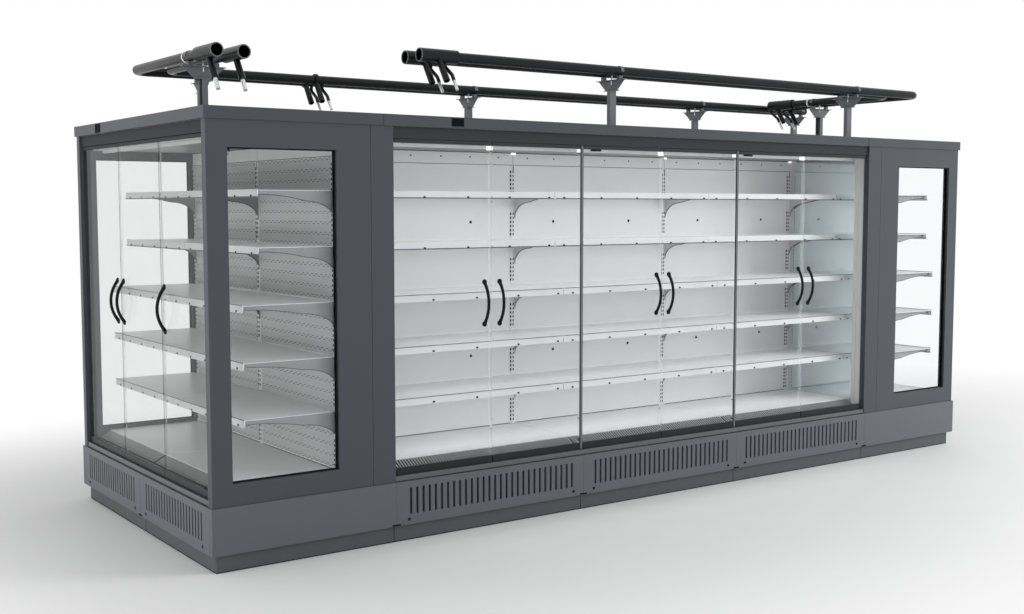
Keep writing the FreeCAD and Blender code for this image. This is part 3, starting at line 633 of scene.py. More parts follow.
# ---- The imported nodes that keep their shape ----

NODE_FINISHES = {
    # skirt_panels and vent_grilles take the lighter charcoal: painted bounce light from the floor.
    "plinth": "kick_board", "skirt_panels": "grille", "vent_grilles": "grille", "top_fascia": "casing",
    "side_panels": "casing", "window_panes": "window_glass", "roof_shell": "white_sheet",
    # base_tub is near-black: painted shade in the gap between skirt and sill.
    "base_tub": "dark_gap", "core_wall": "white_sheet", "back_panels": "white_sheet",
    "display_decks": "white_shelf", "slotted_uprights": "white_sheet", "shelves": "white_shelf",
    "shelf_brackets": "bracket", "door_headers": "header_painted_shade", "door_sills": "frame_grey",
    "mullions": "frame_dark", "return_grilles": "frame_dark", "price_rails": "rail", "mirror_panels": "mirror",
    "light_strips": "lamp", "evaporators": "fins", "header_pipes": "foam", "pipe_stands": "galvanised",
}


def finish_nodes(nodes: dict[str, bpy.types.Object]) -> None:
    """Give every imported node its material.

    Args:
        nodes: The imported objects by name.
    """
    for name, node in nodes.items():
        if name.endswith("_glass"):
            # The left end's doors take the darker glass tint: painted shade.
            finish = "end_glass" if name.startswith("left") else "door_glass"
        elif name.endswith("_fittings"):
            finish = "handle"
        else:
            finish = NODE_FINISHES[name]
        node.data.materials.clear()
        node.data.materials.append(PALETTE.material(finish))
        LOG.info("node %s: finish %s", name, finish)


# ---- Pipes on the roof ----

@dataclass(frozen=True)
class PipeSizes:
    """Sizes of the header pipes, and how far their parts lie from the island's edges."""

    radius: float = 0.027
    bend: float = 0.080
    spacing: float = 0.145
    sleeve: float = 0.037
    sleeve_wall: float = 0.006
    sleeve_length: float = 0.240
    bore_depth: float = 0.120
    collar: float = 0.024
    edge_round: float = 0.003
    stub: float = 0.018
    stub_wall: float = 0.005
    stub_length: float = 0.165
    stub_lean: float = 33.0
    tip: float = 0.011
    tip_length: float = 0.068
    tip_round: float = 0.002
    line: float = 0.010
    upper: float = 2.550
    lower: float = 2.530
    front_inset: float = 0.121
    right_inset: float = 0.332
    left_inset: float = 0.220
    rear_inset: float = 0.379
    front_open_end: float = 1.232
    right_open_end: float = 0.579
    left_open_end: float = 0.375
    rear_end: float = 0.012
    rear_collar: float = 1.303
    stub_from_end: float = 0.118
    stub_from_right_end: float = 0.055
    stub_to_line: float = 0.045


@dataclass(frozen=True)
class Run:
    """One pipe: its three route points, its open ends, its collars and its drops."""

    start: np.ndarray
    corner: np.ndarray
    end: np.ndarray
    open_ends: tuple[tuple[np.ndarray, np.ndarray], ...]
    collars: tuple[tuple[np.ndarray, np.ndarray], ...] = ()
    drops: tuple[tuple[np.ndarray, np.ndarray], ...] = ()
    tipped: tuple[np.ndarray, ...] = ()


class HeaderPipes:
    """Two pairs of insulated pipes with round elbows, hollow sleeves at the open ends and drop lines."""

    def __init__(self, sizes: PipeSizes = PipeSizes()) -> None:
        self.sizes = sizes

    def runs(self) -> list[Run]:
        """Work out the four routes from the edges of the island.

        Returns:
            A front and a rear pipe for each of the two insets.
        """
        s = self.sizes
        length, width = LAYOUT.half_length, LAYOUT.half_width
        made = []
        for inset in (0.0, s.spacing):
            start = np.array([s.front_open_end - length, s.front_inset + inset - width, s.upper])
            corner = np.array([length - s.right_inset - inset, start[1], s.upper])
            end = np.array([corner[0], width - s.right_open_end, s.upper])
            made.append(Run(start, corner, end, ((start, EAST), (end, -NORTH)),
                            drops=((start + s.stub_from_end * EAST, EAST),
                                   (end - s.stub_from_right_end * NORTH, NORTH))))
            start = np.array([s.left_inset + inset - length, s.left_open_end - width, s.lower])
            corner = np.array([start[0], width - s.rear_inset - inset, s.lower])
            end = np.array([length - s.rear_end, corner[1], s.lower])
            collar = np.array([s.rear_collar - length, corner[1], s.lower])
            made.append(Run(start, corner, end, ((start, NORTH),), ((collar, EAST),), ((collar, EAST),),
                            (start + s.stub_from_end * NORTH,)))
        return made

    def route(self, run: Run) -> np.ndarray:
        """Two straight stretches joined by a quarter circle: the centre lies a bend radius in from both.

        Args:
            run: The pipe.

        Returns:
            Rows of x, y and z along its axis.
        """
        back = (run.start - run.corner) / np.linalg.norm(run.start - run.corner)
        ahead = (run.end - run.corner) / np.linalg.norm(run.end - run.corner)
        centre = run.corner + self.sizes.bend * (back + ahead)
        angle = np.linspace(0, math.pi / 2, 11)[:, None]
        arc = centre - self.sizes.bend * (np.cos(angle) * ahead + np.sin(angle) * back)
        return np.vstack([run.start, arc, run.end])

    def build(self) -> None:
        """Make the pipes, sleeves, rims and drops."""
        s = self.sizes
        pipes, sleeves, rims, drops, tips, bores = (Shell() for _ in range(6))
        for run in self.runs():
            path = self.route(run)
            for point, ahead in run.open_ends:
                if np.allclose(point, run.start):
                    path[0] = point + ahead * s.bore_depth
                else:
                    path[-1] = point + ahead * s.bore_depth
                self.sleeve(sleeves, rims, bores, point, ahead)
            pipes.tube(path, UP, s.radius, 32)
            for point, ahead in run.collars:
                half, edge = s.collar / 2, s.edge_round
                ends = ((-half, s.radius), (-half, s.sleeve - edge), (-half + edge, s.sleeve),
                        (half - edge, s.sleeve), (half, s.sleeve - edge), (half, s.radius))
                sleeves.turned(ends, point, ahead, 32)
            for top, ahead in run.drops:
                self.drop(drops, tips, top, ahead)
            for top in run.tipped:
                end = self.stub(drops, top)
                tips.turned(((-s.tip_round, s.tip), (s.tip_length - s.tip_round, s.tip),
                             (s.tip_length, s.tip - s.tip_round)), end, end - top, 20)
        attach(pipes, "header_pipe_tubes", "foam", replaces=("header_pipes",))
        attach(sleeves, "header_pipe_sleeves", "foam")
        attach(rims, "header_pipe_rims", "foam_rim")
        attach(bores, "header_pipe_bores", "dark_gap")
        attach(drops, "drop_lines", "foam")
        attach(tips, "drop_line_tips", "bright_steel")

    def sleeve(self, sleeves: Shell, rims: Shell, bores: Shell, point: np.ndarray, ahead: np.ndarray) -> None:
        """A hollow sleeve on an open end, its thin cut edge, and the dark lining of its bore.

        Args:
            sleeves, rims, bores: The shells that take the three forms.
            point: The middle of the open end.
            ahead: The way into the pipe.
        """
        s = self.sizes
        outer, inner, end, edge = s.sleeve, s.sleeve - s.sleeve_wall, s.sleeve_length, s.edge_round
        sleeves.turned(((edge, inner), (edge, outer), (end - 0.004, outer), (end, outer - 0.004), (end, s.radius),
                        (s.bore_depth, s.radius), (s.bore_depth, inner)), point, ahead, 32)
        rims.turned(((edge, inner - 0.0005), (0.0, inner + 0.0005), (0.0, outer - 0.001), (edge, outer)),
                    point, ahead, 32)
        bores.turned(((0.005, inner), (0.005, inner - 0.001), (s.bore_depth, inner - 0.001), (s.bore_depth, inner)),
                     point, ahead, 32)

    def stub(self, drops: Shell, top: np.ndarray) -> np.ndarray:
        """A stub that leans down and forward from a pipe, hollow at its end.

        Args:
            drops: The shell that takes it.
            top: Its start, on the pipe's axis.

        Returns:
            The place of its end.
        """
        s = self.sizes
        lean = math.radians(s.stub_lean)
        down = np.array([0, -math.sin(lean), -math.cos(lean)])
        length, inner = s.stub_length, s.stub - s.stub_wall
        drops.turned(((0.0, s.stub * 0.9), (length - 0.002, s.stub), (length, s.stub - 0.002), (length, inner),
                      (length - 0.03, inner)), top, down, 20)
        return top + down * length

    def drop(self, drops: Shell, tips: Shell, top: np.ndarray, ahead: np.ndarray) -> None:
        """A leaning stub and, beside it, a thin line in two bends whose lower part is bare.

        Args:
            drops: The shell that takes the stub and the covered part of the line.
            tips: The shell that takes the bare part.
            top: The start of the stub, on the pipe's axis.
            ahead: The way along the pipe from the stub to the line.
        """
        s = self.sizes
        self.stub(drops, top)
        start = top + ahead * s.stub_to_line
        bends = np.array([[0, 0, 0], [0, 0, -0.050], [0, -0.006, -0.058], [0, -0.060, -0.095], [0, -0.070, -0.103],
                          [0, -0.088, -0.133]])
        drops.tube(start + bends, EAST, s.line, 14)
        bare = np.array([[0, -0.086, -0.130], [0, -0.112, -0.172], [0, -0.121, -0.186]])
        tips.tube(start + bare, EAST, s.line * 0.85, 14)


@dataclass(frozen=True)
class StandSizes:
    """Places of the stands, from the left end or the front of the island, and sizes of their clamps."""

    front: float = 2.615
    right: float = 0.960
    left: float = 0.735
    rear: tuple[float, ...] = (0.600, 2.480, 4.580)
    last_from_right: float = 0.057
    left_band: float = -0.2135
    right_band: float = 0.0105
    band_half: float = 0.006
    band_wall: float = 0.002
    strap_half: float = 0.012
    strap_faces: Span = (0.0003, 0.0028)
    strap_past_half: float = 0.15
    plate_levels: Span = (0.012, 0.016)
    plate_gap: float = 0.004


class PipeStands:
    """Clamps and bolts on the stands that carry the pipes."""

    def __init__(self, pipes: PipeSizes = PipeSizes(), sizes: StandSizes = StandSizes()) -> None:
        self.pipes = pipes
        self.sizes = sizes

    def places(self) -> list[tuple[np.ndarray, np.ndarray]]:
        """Where each stand holds its pair of pipes.

        Returns:
            The middle of the pair and the heading of the pipes, for each stand.
        """
        p, s = self.pipes, self.sizes
        length, width = LAYOUT.half_length, LAYOUT.half_width
        middle = p.spacing / 2
        front = (s.front - length, LAYOUT.run_half)
        made = [(np.array([x, p.front_inset + middle - width, p.upper]), EAST) for x in front]
        made.append((np.array([length - p.right_inset - middle, s.right - width, p.upper]), NORTH))
        made.append((np.array([p.left_inset + middle - length, s.left - width, p.lower]), NORTH))
        rear = [x - length for x in s.rear] + [length - s.last_from_right]
        made += [(np.array([x, width - p.rear_inset - middle, p.lower]), EAST) for x in rear]
        return made

    def build(self) -> None:
        """Make a strap over each pair, a bolt between the pipes, and white bands beside the end stands."""
        p, s = self.pipes, self.sizes
        straps, bolts, bands = Shell(), Shell(), Shell()
        for middle, ahead in self.places():
            across = np.array([-ahead[1], ahead[0], 0])
            for sign in (-1, 1):
                self.hoop(straps, middle + sign * across * p.spacing / 2, ahead)
            bolts.turned(((-0.075, 0.005), (0.022, 0.005), (0.022, 0.010), (0.030, 0.010)), middle, UP, 6)
            corners = np.array([[-1, -1], [1, -1], [1, 1], [-1, 1]])
            plate = corners * np.array([s.strap_half, p.spacing / 2 - p.radius - s.plate_gap])
            rows = [middle + plate[:, :1] * ahead + plate[:, 1:] * across + UP * z for z in s.plate_levels]
            straps.grid(np.stack(rows))
        outer = p.radius + s.band_wall
        for place in self.band_places():
            bands.turned(((-s.band_half, p.radius), (-s.band_half, outer), (s.band_half, outer),
                          (s.band_half, p.radius)), place, NORTH, 32)
        attach(straps, "pipe_straps", "galvanised", bevel=0.0006)
        attach(bolts, "pipe_clamp_bolts", "bright_steel")
        attach(bands, "pipe_bands", "strap_white")

    def hoop(self, shell: Shell, centre: np.ndarray, ahead: np.ndarray) -> None:
        """A strap that goes over a pipe: a flat band on a half circle whose ends run down to the saddle.

        Args:
            shell: The shell that takes it.
            centre: The place on the pipe's axis.
            ahead: The way along the pipe.
        """
        s = self.sizes
        across = np.array([-ahead[1], ahead[0], 0])
        angle = np.linspace(-s.strap_past_half, math.pi + s.strap_past_half, 15)[:, None]
        out = np.cos(angle) * across + np.sin(angle) * UP
        low, high = s.strap_faces
        rows = []
        for lift, shift in ((low, -s.strap_half), (high, -s.strap_half), (high, s.strap_half), (low, s.strap_half)):
            rows.append(centre + out * (self.pipes.radius + lift) + ahead * shift)
        shell.grid(np.stack(rows, axis=1))

    def band_places(self) -> list[tuple[float, float, float]]:
        """Where the white bands go round the left and right pairs.

        Returns:
            The x, y and z of each band's middle.
        """
        p, s = self.pipes, self.sizes
        places = []
        for inset in (0.0, p.spacing):
            places.append((p.left_inset + inset - LAYOUT.half_length, s.left_band, p.lower))
            places.append((LAYOUT.half_length - p.right_inset - inset, s.right_band, p.upper))
        return places


# ---- Doors ----

@dataclass(frozen=True)
class DoorSizes:
    """Sizes of a door leaf."""

    front: float = 0.018
    back: float = 0.044
    bottom_rail: float = 0.036
    top_rail: float = 0.018
    handle_inset: float = 0.0475
    handle_centre: float = 1.232
    handle_half: float = 0.114
    handle_bulge: float = 0.043
    handle_radius: float = 0.009
    pad_radius: float = 0.015
    glass_front: float = 0.021
    pin_radius: float = 0.0058
    pin_depth: float = 0.024
    pin_length: float = 0.012
    pin_inset: float = 0.014
    rail_step: float = 0.004
    seal_width: float = 0.011
    seal_depth: Span = (0.042, 0.0435)


@dataclass(frozen=True)
class Leaf:
    """One door leaf: its side, number, x span and the x of its hinge edge."""

    side: Side
    number: int
    span: Span
    hinge: float

    @property
    def body(self) -> str:
        """The body that the leaf moves with."""
        return f"{self.side.value}_door_{self.number}"

    @property
    def free(self) -> float:
        """The x of the edge with the handle."""
        return self.span[0] if self.hinge == self.span[1] else self.span[1]

    @property
    def toward_free(self) -> float:
        """+1 where the free edge is on the right."""
        return math.copysign(1.0, self.free - self.hinge)


class Doors:
    """Rails, pins, handles and clear seals of all the leaves."""

    def __init__(self, sizes: DoorSizes = DoorSizes()) -> None:
        self.sizes = sizes

    @staticmethod
    def leaves() -> list[Leaf]:
        """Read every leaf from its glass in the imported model, and its hinge edge from its joint.

        Returns:
            The leaves of the four sides.
        """
        origins = {joint["child"]: joint["pos_m"] for joint in frame["joints"]}
        made = []
        for side in Side:
            for number in range(1, 7 if side.is_run else 4):
                corners = np.array([list(corner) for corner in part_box(f"{side.value}_door_{number}_glass")])
                x = np.sort(side.localise(corners)[:, 0])
                axis = side.localise(np.array(origins[f"{side.value}_door_{number}"]))[0]
                hinge = float(x[np.argmin(np.abs(x - axis))])
                made.append(Leaf(side, number, (float(x[0]), float(x[1])), hinge))
        return made

    def build(self) -> None:
        """Make the pieces of every leaf."""
        for leaf in self.leaves():
            self.rails(leaf)
            self.handle(leaf)
            self.seals(leaf)

    def rails(self, leaf: Leaf) -> None:
        """The bottom and top rails, with a thin step along each, and the pivots.

        Args:
            leaf: The leaf that they belong to.
        """
        s = self.sizes
        bottom, upper = Shell(), Shell()
        base, top = LAYOUT.door_base, LAYOUT.door_top
        for shell, outer, inner in ((bottom, base, base + s.bottom_rail), (upper, top, top - s.top_rail)):
            step = math.copysign(s.rail_step, inner - outer)
            outline = ((s.front, outer), (s.back, outer), (s.back, inner - step), (s.back - 0.002, inner),
                       (s.front + 0.002, inner), (s.front, inner - step))
            shell.prism(leaf.side, outline, leaf.span)
        axis = leaf.hinge + s.pin_inset * leaf.toward_free
        for shell, start, way in ((bottom, base, -1), (upper, top, 1)):
            point = leaf.side.place(np.array([axis, s.pin_depth, start]))
            shell.turned(((-0.002, s.pin_radius), (s.pin_length - 0.001, s.pin_radius),
                          (s.pin_length, s.pin_radius - 0.001)), point, (0, 0, way), 16)
        attach(bottom, f"{leaf.body}_bottom_rail", "rail_black", leaf.body, bevel=0.0012,
               replaces=(f"{leaf.body}_fittings",))
        # The top rail takes the darkened header black: painted shade under the fascia.
        attach(upper, f"{leaf.body}_top_rail", "header_painted_shade", leaf.body, bevel=0.0012)

    def handle(self, leaf: Leaf) -> None:
        """A bow handle: a tube on a circle's arc between two round pads, thicker at its feet.

        Args:
            leaf: The leaf that it is on.
        """
        s = self.sizes
        x = leaf.free - s.handle_inset * leaf.toward_free
        radius = (s.handle_half ** 2 + s.handle_bulge ** 2) / (2 * s.handle_bulge)
        spread = math.asin(s.handle_half / radius)
        angle = np.linspace(-spread, spread, 25)
        path = np.stack([np.full(25, x), s.glass_front - s.handle_bulge + radius * (1 - np.cos(angle)),
                         s.handle_centre + radius * np.sin(angle)], axis=1)
        swell = 1 + 0.28 * np.abs(angle / spread) ** 6
        shell = Shell()
        shell.tube(leaf.side.place(path), leaf.side.heading(1.0, 0.0), s.handle_radius * 0.93 * swell, 18)
        for sign in (-1, 1):
            foot = leaf.side.place(np.array([x, s.glass_front, s.handle_centre + sign * s.handle_half]))
            shell.turned(((0, s.pad_radius), (0.0035, s.pad_radius), (0.005, s.pad_radius - 0.0015),
                          (0.009, s.handle_radius * 1.15)), foot, leaf.side.heading(0.0, -1.0), 24)
        attach(shell, f"{leaf.body}_handle", "handle", leaf.body)

    def seals(self, leaf: Leaf) -> None:
        """A clear sealing strip behind each edge of the glass that meets another leaf.

        Args:
            leaf: The leaf whose edges they seal.
        """
        s = self.sizes
        z = (LAYOUT.door_base + s.bottom_rail, LAYOUT.door_top - s.top_rail)
        for number, edge in enumerate(leaf.span, 1):
            inward = math.copysign(1.0, sum(leaf.span) / 2 - edge)
            if abs(edge) > leaf.side.half_span - 0.02 or (leaf.side.is_run and edge == leaf.hinge):
                continue
            veil = Shell()
            veil.boxes(leaf.side, (edge, edge + inward * s.seal_width), s.seal_depth, z)
            attach(veil, f"{leaf.body}_seal_{number}", "edge_seal", leaf.body)


# ---- Cold spaces ----

@dataclass(frozen=True)
class ShelfSizes:
    """Sizes of the shelving details."""

    sheet: float = 0.003
    bracket_thickness: float = 0.006
    bracket_root: float = 0.150
    bracket_neck: float = 0.052
    bracket_neck_share: float = 0.62
    bracket_shift: float = 0.012
    bracket_tip: float = 0.020
    bracket_nose_gap: float = 0.004
    bracket_lip: float = 0.0034
    upright_half: float = 0.020
    slot_pitch: float = 0.025
    slot_height: float = 0.0145
    slot_half: float = 0.0040
    slot_column: float = 0.0088
    slot_shift: float = -0.009
    slot_first: float = 0.014
    slots_in_group: int = 6
    slit_half: float = 0.003
    rail_height: float = 0.039
    rail_depth: float = 0.006
    eye_level: float = 1.5
    clip_pitch: float = 0.285
    clip_shift: float = 0.012
    clip_half: float = 0.006
    end_clip_share: float = 0.68
    plug_radius: float = 0.009
    plug_shift: float = 0.3125
    plug_heights: tuple[float, ...] = (0.852, 1.661)


class Shelving:
    """Brackets, slot rows, rail lines and clips, and the small marks on the back walls."""

    def __init__(self, sizes: ShelfSizes = ShelfSizes()) -> None:
        self.sizes = sizes

    def build(self) -> None:
        """Make the details of all four sides."""
        uprights, brackets, shaded_end_brackets, edges, slots, lines, clips, plugs, slits = (Shell() for _ in range(9))
        for side in Side:
            uprights.boxes(side, about(side.upright_x, self.sizes.upright_half),
                           (LAYOUT.upright_front, LAYOUT.back_face + 0.001),
                           (LAYOUT.deck_top, LAYOUT.lower_back_top - 0.003))
            self.brackets(brackets if side.is_run else shaded_end_brackets, edges, side)
            self.slots(slots, slits, side)
            for span in side.compartments:
                self.rail_details(lines, clips, side, span)
                if side.is_run:
                    self.plugs(plugs, side, span)
        attach(uprights, "flush_uprights", "white_sheet", replaces=("slotted_uprights",))
        attach(brackets, "curved_brackets", "bracket", bevel=0.0008, replaces=("shelf_brackets",))
        # The end cases' brackets take the darker copy of the bracket paint: painted shade.
        attach(shaded_end_brackets, "end_case_brackets_painted_shade", "end_bracket_painted_shade", bevel=0.0008)
        attach(edges, "bracket_lips", "bracket_edge")
        attach(slots, "upright_slots", "dark_gap")
        attach(slits, "upright_top_slits", "dark_gap")
        attach(lines, "rail_shadow_and_joint_lines", "frame_grey")
        attach(clips, "rail_clips", "gasket")
        attach(plugs, "back_wall_plugs", "gasket")

    def brackets(self, shell: Shell, edges: Shell, side: Side) -> None:
        """A bracket at each upright and level, with a darker lip along its lower edge.

        The lower edge falls as a square law of its reach, then as a quarter circle down to the root.

        Args:
            shell: The shell that takes the brackets.
            edges: The shell that takes the lips.
            side: The side that they are on.
        """
        s = self.sizes
        half = s.bracket_thickness / 2
        places = np.clip(side.upright_x + s.bracket_shift, s.bracket_shift - side.half_span,
                         side.half_span - s.bracket_shift)
        share = np.linspace(0, 1, 7)
        turn = np.linspace(0, math.pi / 2, 9)[1:]
        level = np.concatenate([s.bracket_tip + (s.bracket_neck - s.bracket_tip) * share ** 2,
                                s.bracket_neck + (s.bracket_root - s.bracket_neck) * (1 - np.cos(turn))])
        neck = s.bracket_neck_share
        for shelf_top, front in zip(LAYOUT.shelf_tops, LAYOUT.shelf_fronts):
            top = shelf_top - s.sheet
            nose = front + s.bracket_nose_gap
            reach = LAYOUT.upright_front - nose
            along = np.concatenate([nose + reach * neck * share, nose + reach * (neck + (1 - neck) * np.sin(turn))])
            lower = np.column_stack([along, top - level])
            outline = np.vstack([[nose, top], lower, [LAYOUT.upright_front, top]])
            lip = np.vstack([lower, (lower + [0, s.bracket_lip])[::-1]])
            for x in places:
                shell.prism(side, outline, (x - half, x + half))
                edges.prism(side, lip, (x - half - 0.001, x + half + 0.001))

    def slots(self, shell: Shell, slits: Shell, side: Side) -> None:
        """Rows of dark hook slots down each upright, in groups between the shelves.

        Args:
            shell: The shell that takes the slots.
            slits: The shell that takes the single slit over the top group.
            side: The side that they are on.
        """
        s = self.sizes
        tops = np.array(LAYOUT.shelf_tops)
        groups = np.concatenate([[LAYOUT.deck_top + 0.005], tops[:-1] + 0.008, [tops[-1] - 0.015]])
        offsets = s.slot_first + s.slot_pitch * np.arange(s.slots_in_group)
        bases = (groups[:, None] + offsets[None, :]).ravel()
        spans = np.column_stack([bases, bases + s.slot_height])
        y = (LAYOUT.upright_front - 0.0006, LAYOUT.upright_front + 0.004)
        for x in side.upright_x + s.slot_shift:
            for column in (x - s.slot_column, x + s.slot_column):
                shell.boxes(side, (column - s.slot_half, column + s.slot_half), y, spans)
            slits.boxes(side, (x + s.slot_column - s.slit_half, x + s.slot_column + s.slit_half), y,
                        (LAYOUT.lower_back_top - 0.045, LAYOUT.lower_back_top - 0.005))

    def rail_details(self, lines: Shell, clips: Shell, side: Side, span: Span) -> None:
        """A dark line along each price rail and its clips.

        The line is painted shade at the foot of the rail on the levels above eye_level, and the dark joint between tray
        and rail at its top below that.

        Args:
            lines: The shell that takes the lines.
            clips: The shell that takes the clips.
            side: The side that the rails are on.
            span: The x span of the compartment.
        """
        s = self.sizes
        tops = np.array(LAYOUT.shelf_tops)
        front = np.array(LAYOUT.shelf_fronts) - s.rail_depth
        low = tops + 0.003 - s.rail_height
        # Above eye_level the line is painted shade under the rail's foot; below it, the dark joint between tray and
        # rail.
        upper = tops > s.eye_level
        base = np.where(upper, low - 0.001, tops + 0.0005)
        lines.boxes(side, span, np.column_stack([front - 0.0010, front + 0.003]),
                    np.column_stack([base, base + np.where(upper, 0.0060, 0.0028)]))
        middle = (span[0] + span[1]) / 2
        at = middle + s.clip_shift + s.clip_pitch * np.arange(-2, 3) * (1.0 if side.is_run else s.end_clip_share)
        x, level = (grid.ravel() for grid in np.meshgrid(at, np.arange(len(tops)), indexing="ij"))
        clips.boxes(side, about(x, s.clip_half), np.column_stack([front[level] - 0.0022, front[level] + 0.002]),
                    np.column_stack([low[level] + 0.003, low[level] + 0.012]))

    def plugs(self, shell: Shell, side: Side, span: Span) -> None:
        """Round plugs in the back wall at two heights.

        Args:
            shell: The shell that takes them.
            side: The side that they are on.
            span: The x span of the compartment.
        """
        s = self.sizes
        middle = (span[0] + span[1]) / 2
        profile = ((0, s.plug_radius), (0.001, s.plug_radius), (0.003, 0.006))
        for x in (middle - s.plug_shift, middle + s.plug_shift):
            for z in s.plug_heights:
                shell.turned(profile, side.place(np.array([x, LAYOUT.back_face, z])), side.heading(0.0, -1.0), 12)


@dataclass(frozen=True)
class ColdSizes:
    """Sizes of the return grilles, the marks under the header and the hook."""

    grille_front: float = 0.086
    grille_back: float = 0.150
    grille_low: float = 0.373
    grille_high: float = 0.407
    bed_sheet: float = 0.003
    rib_pitch: float = 0.018
    rib_width: float = 0.0080
    screws_in_bay: int = 6
    screw_half: float = 0.005
    lamp_depth: Span = (0.052, 0.070)
    catch_shift: float = 0.135
    catch_half: float = 0.036
    cap_profile: tuple[Span, ...] = ((0, 0.009), (0.0012, 0.009), (0.0018, 0.007))
    hook_radius: float = 0.016
    hook_wire: float = 0.003
    hook_depth: float = 0.40
    hook_x: float = 0.30
    hook_z: float = 2.040


class ColdSpace:
    """Return grilles, joint lines, lit spots, grey ceiling sheets of painted shade, perforated liners, strips of
    painted fascia shadow, a hook and the jambs of the runs.
    """

    def __init__(self, sizes: ColdSizes = ColdSizes()) -> None:
        self.sizes = sizes

    def build(self) -> None:
        """Make the pieces of all four sides."""
        ribs, beds, joints, spots, pins = (Shell() for _ in range(5))
        for side in Side:
            for span in side.compartments:
                self.return_grille(ribs, beds, side, span)
                joints.boxes(side, span, (LAYOUT.back_face - 0.0008, LAYOUT.back_face + 0.002),
                             [[LAYOUT.lower_back_top - 0.0015, LAYOUT.lower_back_top + 0.0015],
                              [LAYOUT.deck_top - 0.001, LAYOUT.deck_top + 0.004]])
                joints.boxes(side, span, (LAYOUT.back_face - 0.004, LAYOUT.back_face),
                             (LAYOUT.canopy_base - 0.006, LAYOUT.canopy_base))
                if side.is_run:
                    self.ceiling_screws(pins, side, span)
            self.header_marks(spots, pins, side)
        attach(beds, "return_grille_beds", "dark_gap", replaces=("return_grilles",))
        attach(ribs, "return_grille_ribs", "grille_rib")
        attach(joints, "wall_joint_lines", "frame_dark")
        attach(spots, "header_spots", "spot")
        attach(pins, "header_pins", "gasket")
        # Near-black strips along the top of each header: painted shadow of the fascia.
        fascia_shadow_strips = Shell()
        for side in Side:
            fascia_shadow_strips.boxes(side, (-side.half_span + 0.002, side.half_span - 0.002), (0.0170, 0.0195),
                         (LAYOUT.header_top - 0.026, LAYOUT.header_top - 0.001))
        attach(fascia_shadow_strips, "header_painted_shadow_strips", "rail_black")
        self.ceilings()
        self.liners()
        self.jambs()
        self.ceiling_hook()

    def ceiling_screws(self, pins: Shell, side: Side, span: Span) -> None:
        """A row of small screws in the back wall just under the ceiling.

        Args:
            pins: The shell that takes them.
            side: The side that they are on.
            span: The x span of the compartment.
        """
        s = self.sizes
        step = (span[1] - span[0]) / s.screws_in_bay
        x = span[0] + step * (np.arange(s.screws_in_bay) + 0.5)
        pins.boxes(side, about(x, s.screw_half), (LAYOUT.back_face - 0.001, LAYOUT.back_face + 0.001),
                   (LAYOUT.canopy_base - 0.036, LAYOUT.canopy_base - 0.028))

    def return_grille(self, ribs: Shell, beds: Shell, side: Side, span: Span) -> None:
        """The return grille: a dark bed that slopes up inward, and ribs across it at an even pitch.

        Args:
            ribs: The shell that takes the ribs.
            beds: The shell that takes the bed.
            side: The side that it is on.
            span: The x span of the compartment.
        """
        s = self.sizes
        front, back, low, high, sheet = s.grille_front, s.grille_back, s.grille_low, s.grille_high, s.bed_sheet
        beds.prism(side, ((front, LAYOUT.sill_top), (front + sheet, LAYOUT.sill_top), (front + sheet, low - 0.006),
                          (back, high - 0.008), (back, high - 0.004), (front, low - 0.003)), span)
        start = np.arange(span[0] + 0.004, span[1] - 0.008, s.rib_pitch)
        outline = np.array([(front, low - 0.004), (back - 0.001, high - 0.006), (back - 0.001, high), (front, low)])
        count = len(start)
        corners = np.empty((count, 2, 4, 3))
        corners[..., 0] = np.stack([start, start + s.rib_width], axis=1)[:, :, None]
        corners[..., 1:] = outline
        placed = side.place(corners).reshape(count, 8, 3)
        quads = np.array([[0, 3, 2, 1], [4, 5, 6, 7], [0, 1, 5, 4], [1, 2, 6, 5], [2, 3, 7, 6], [3, 0, 4, 7]])
        faces = quads[None] + 8 * np.arange(count)[:, None, None]
        ribs.add(placed, faces.reshape(-1, 4).tolist())

    def header_marks(self, spots: Shell, pins: Shell, side: Side) -> None:
        """Lit spots under the header beside the posts and at bay centres, and the pins above them.

        Args:
            spots: The shell that takes the lit spots.
            pins: The shell that takes the pins and catches.
            side: The side that they are on.
        """
        s = self.sizes
        posts = side.lines[1:-1]
        centres = (side.lines[:-1] + side.lines[1:]) / 2
        base = LAYOUT.canopy_base
        if side.is_run:
            spots.boxes(side, np.column_stack([centres - 0.006, centres + 0.026]), s.lamp_depth,
                        (base - 0.024, base - 0.002))
            spots.boxes(side, about(posts + 0.004, 0.006), s.lamp_depth, (base - 0.020, base - 0.002))
            pins.boxes(side, about(posts + s.catch_shift, s.catch_half), (0.060, 0.070), (base - 0.011, base))
            spots.boxes(side, about(side.upright_x, 0.016), (LAYOUT.back_face - 0.008, LAYOUT.back_face),
                        (base - 0.012, base - 0.002))
        for x in np.concatenate([centres, posts]):
            start = side.place(np.array([x, 0.019, LAYOUT.header_base + 0.044]))
            pins.turned(s.cap_profile, start, side.heading(0.0, -1.0), 12)

    @staticmethod
    def ceilings() -> None:
        """A thin grey sheet under the ceiling of every compartment: painted shade on the ceiling's underside."""
        shell = Shell()
        for side in Side:
            for span in side.compartments:
                base = LAYOUT.canopy_base
                shell.boxes(side, span, (0.150, LAYOUT.back_face - 0.004), (base - 0.0015, base - 0.0001))
        attach(shell, "ceiling_painted_shade_sheets", "ceiling")

    @staticmethod
    def liners() -> None:
        """Thin perforated sheets over the back walls of the two end cases."""
        for side in (Side.LEFT, Side.RIGHT):
            shell = Shell()
            for low, high in side.compartments:
                shell.boxes(side, (low + 0.020, high - 0.020), (LAYOUT.back_face - 0.0018, LAYOUT.back_face - 0.0002),
                            (LAYOUT.deck_top + 0.012, LAYOUT.lower_back_top - 0.006))
            attach(shell, f"{side.value}_perforated_liner", "perforated")

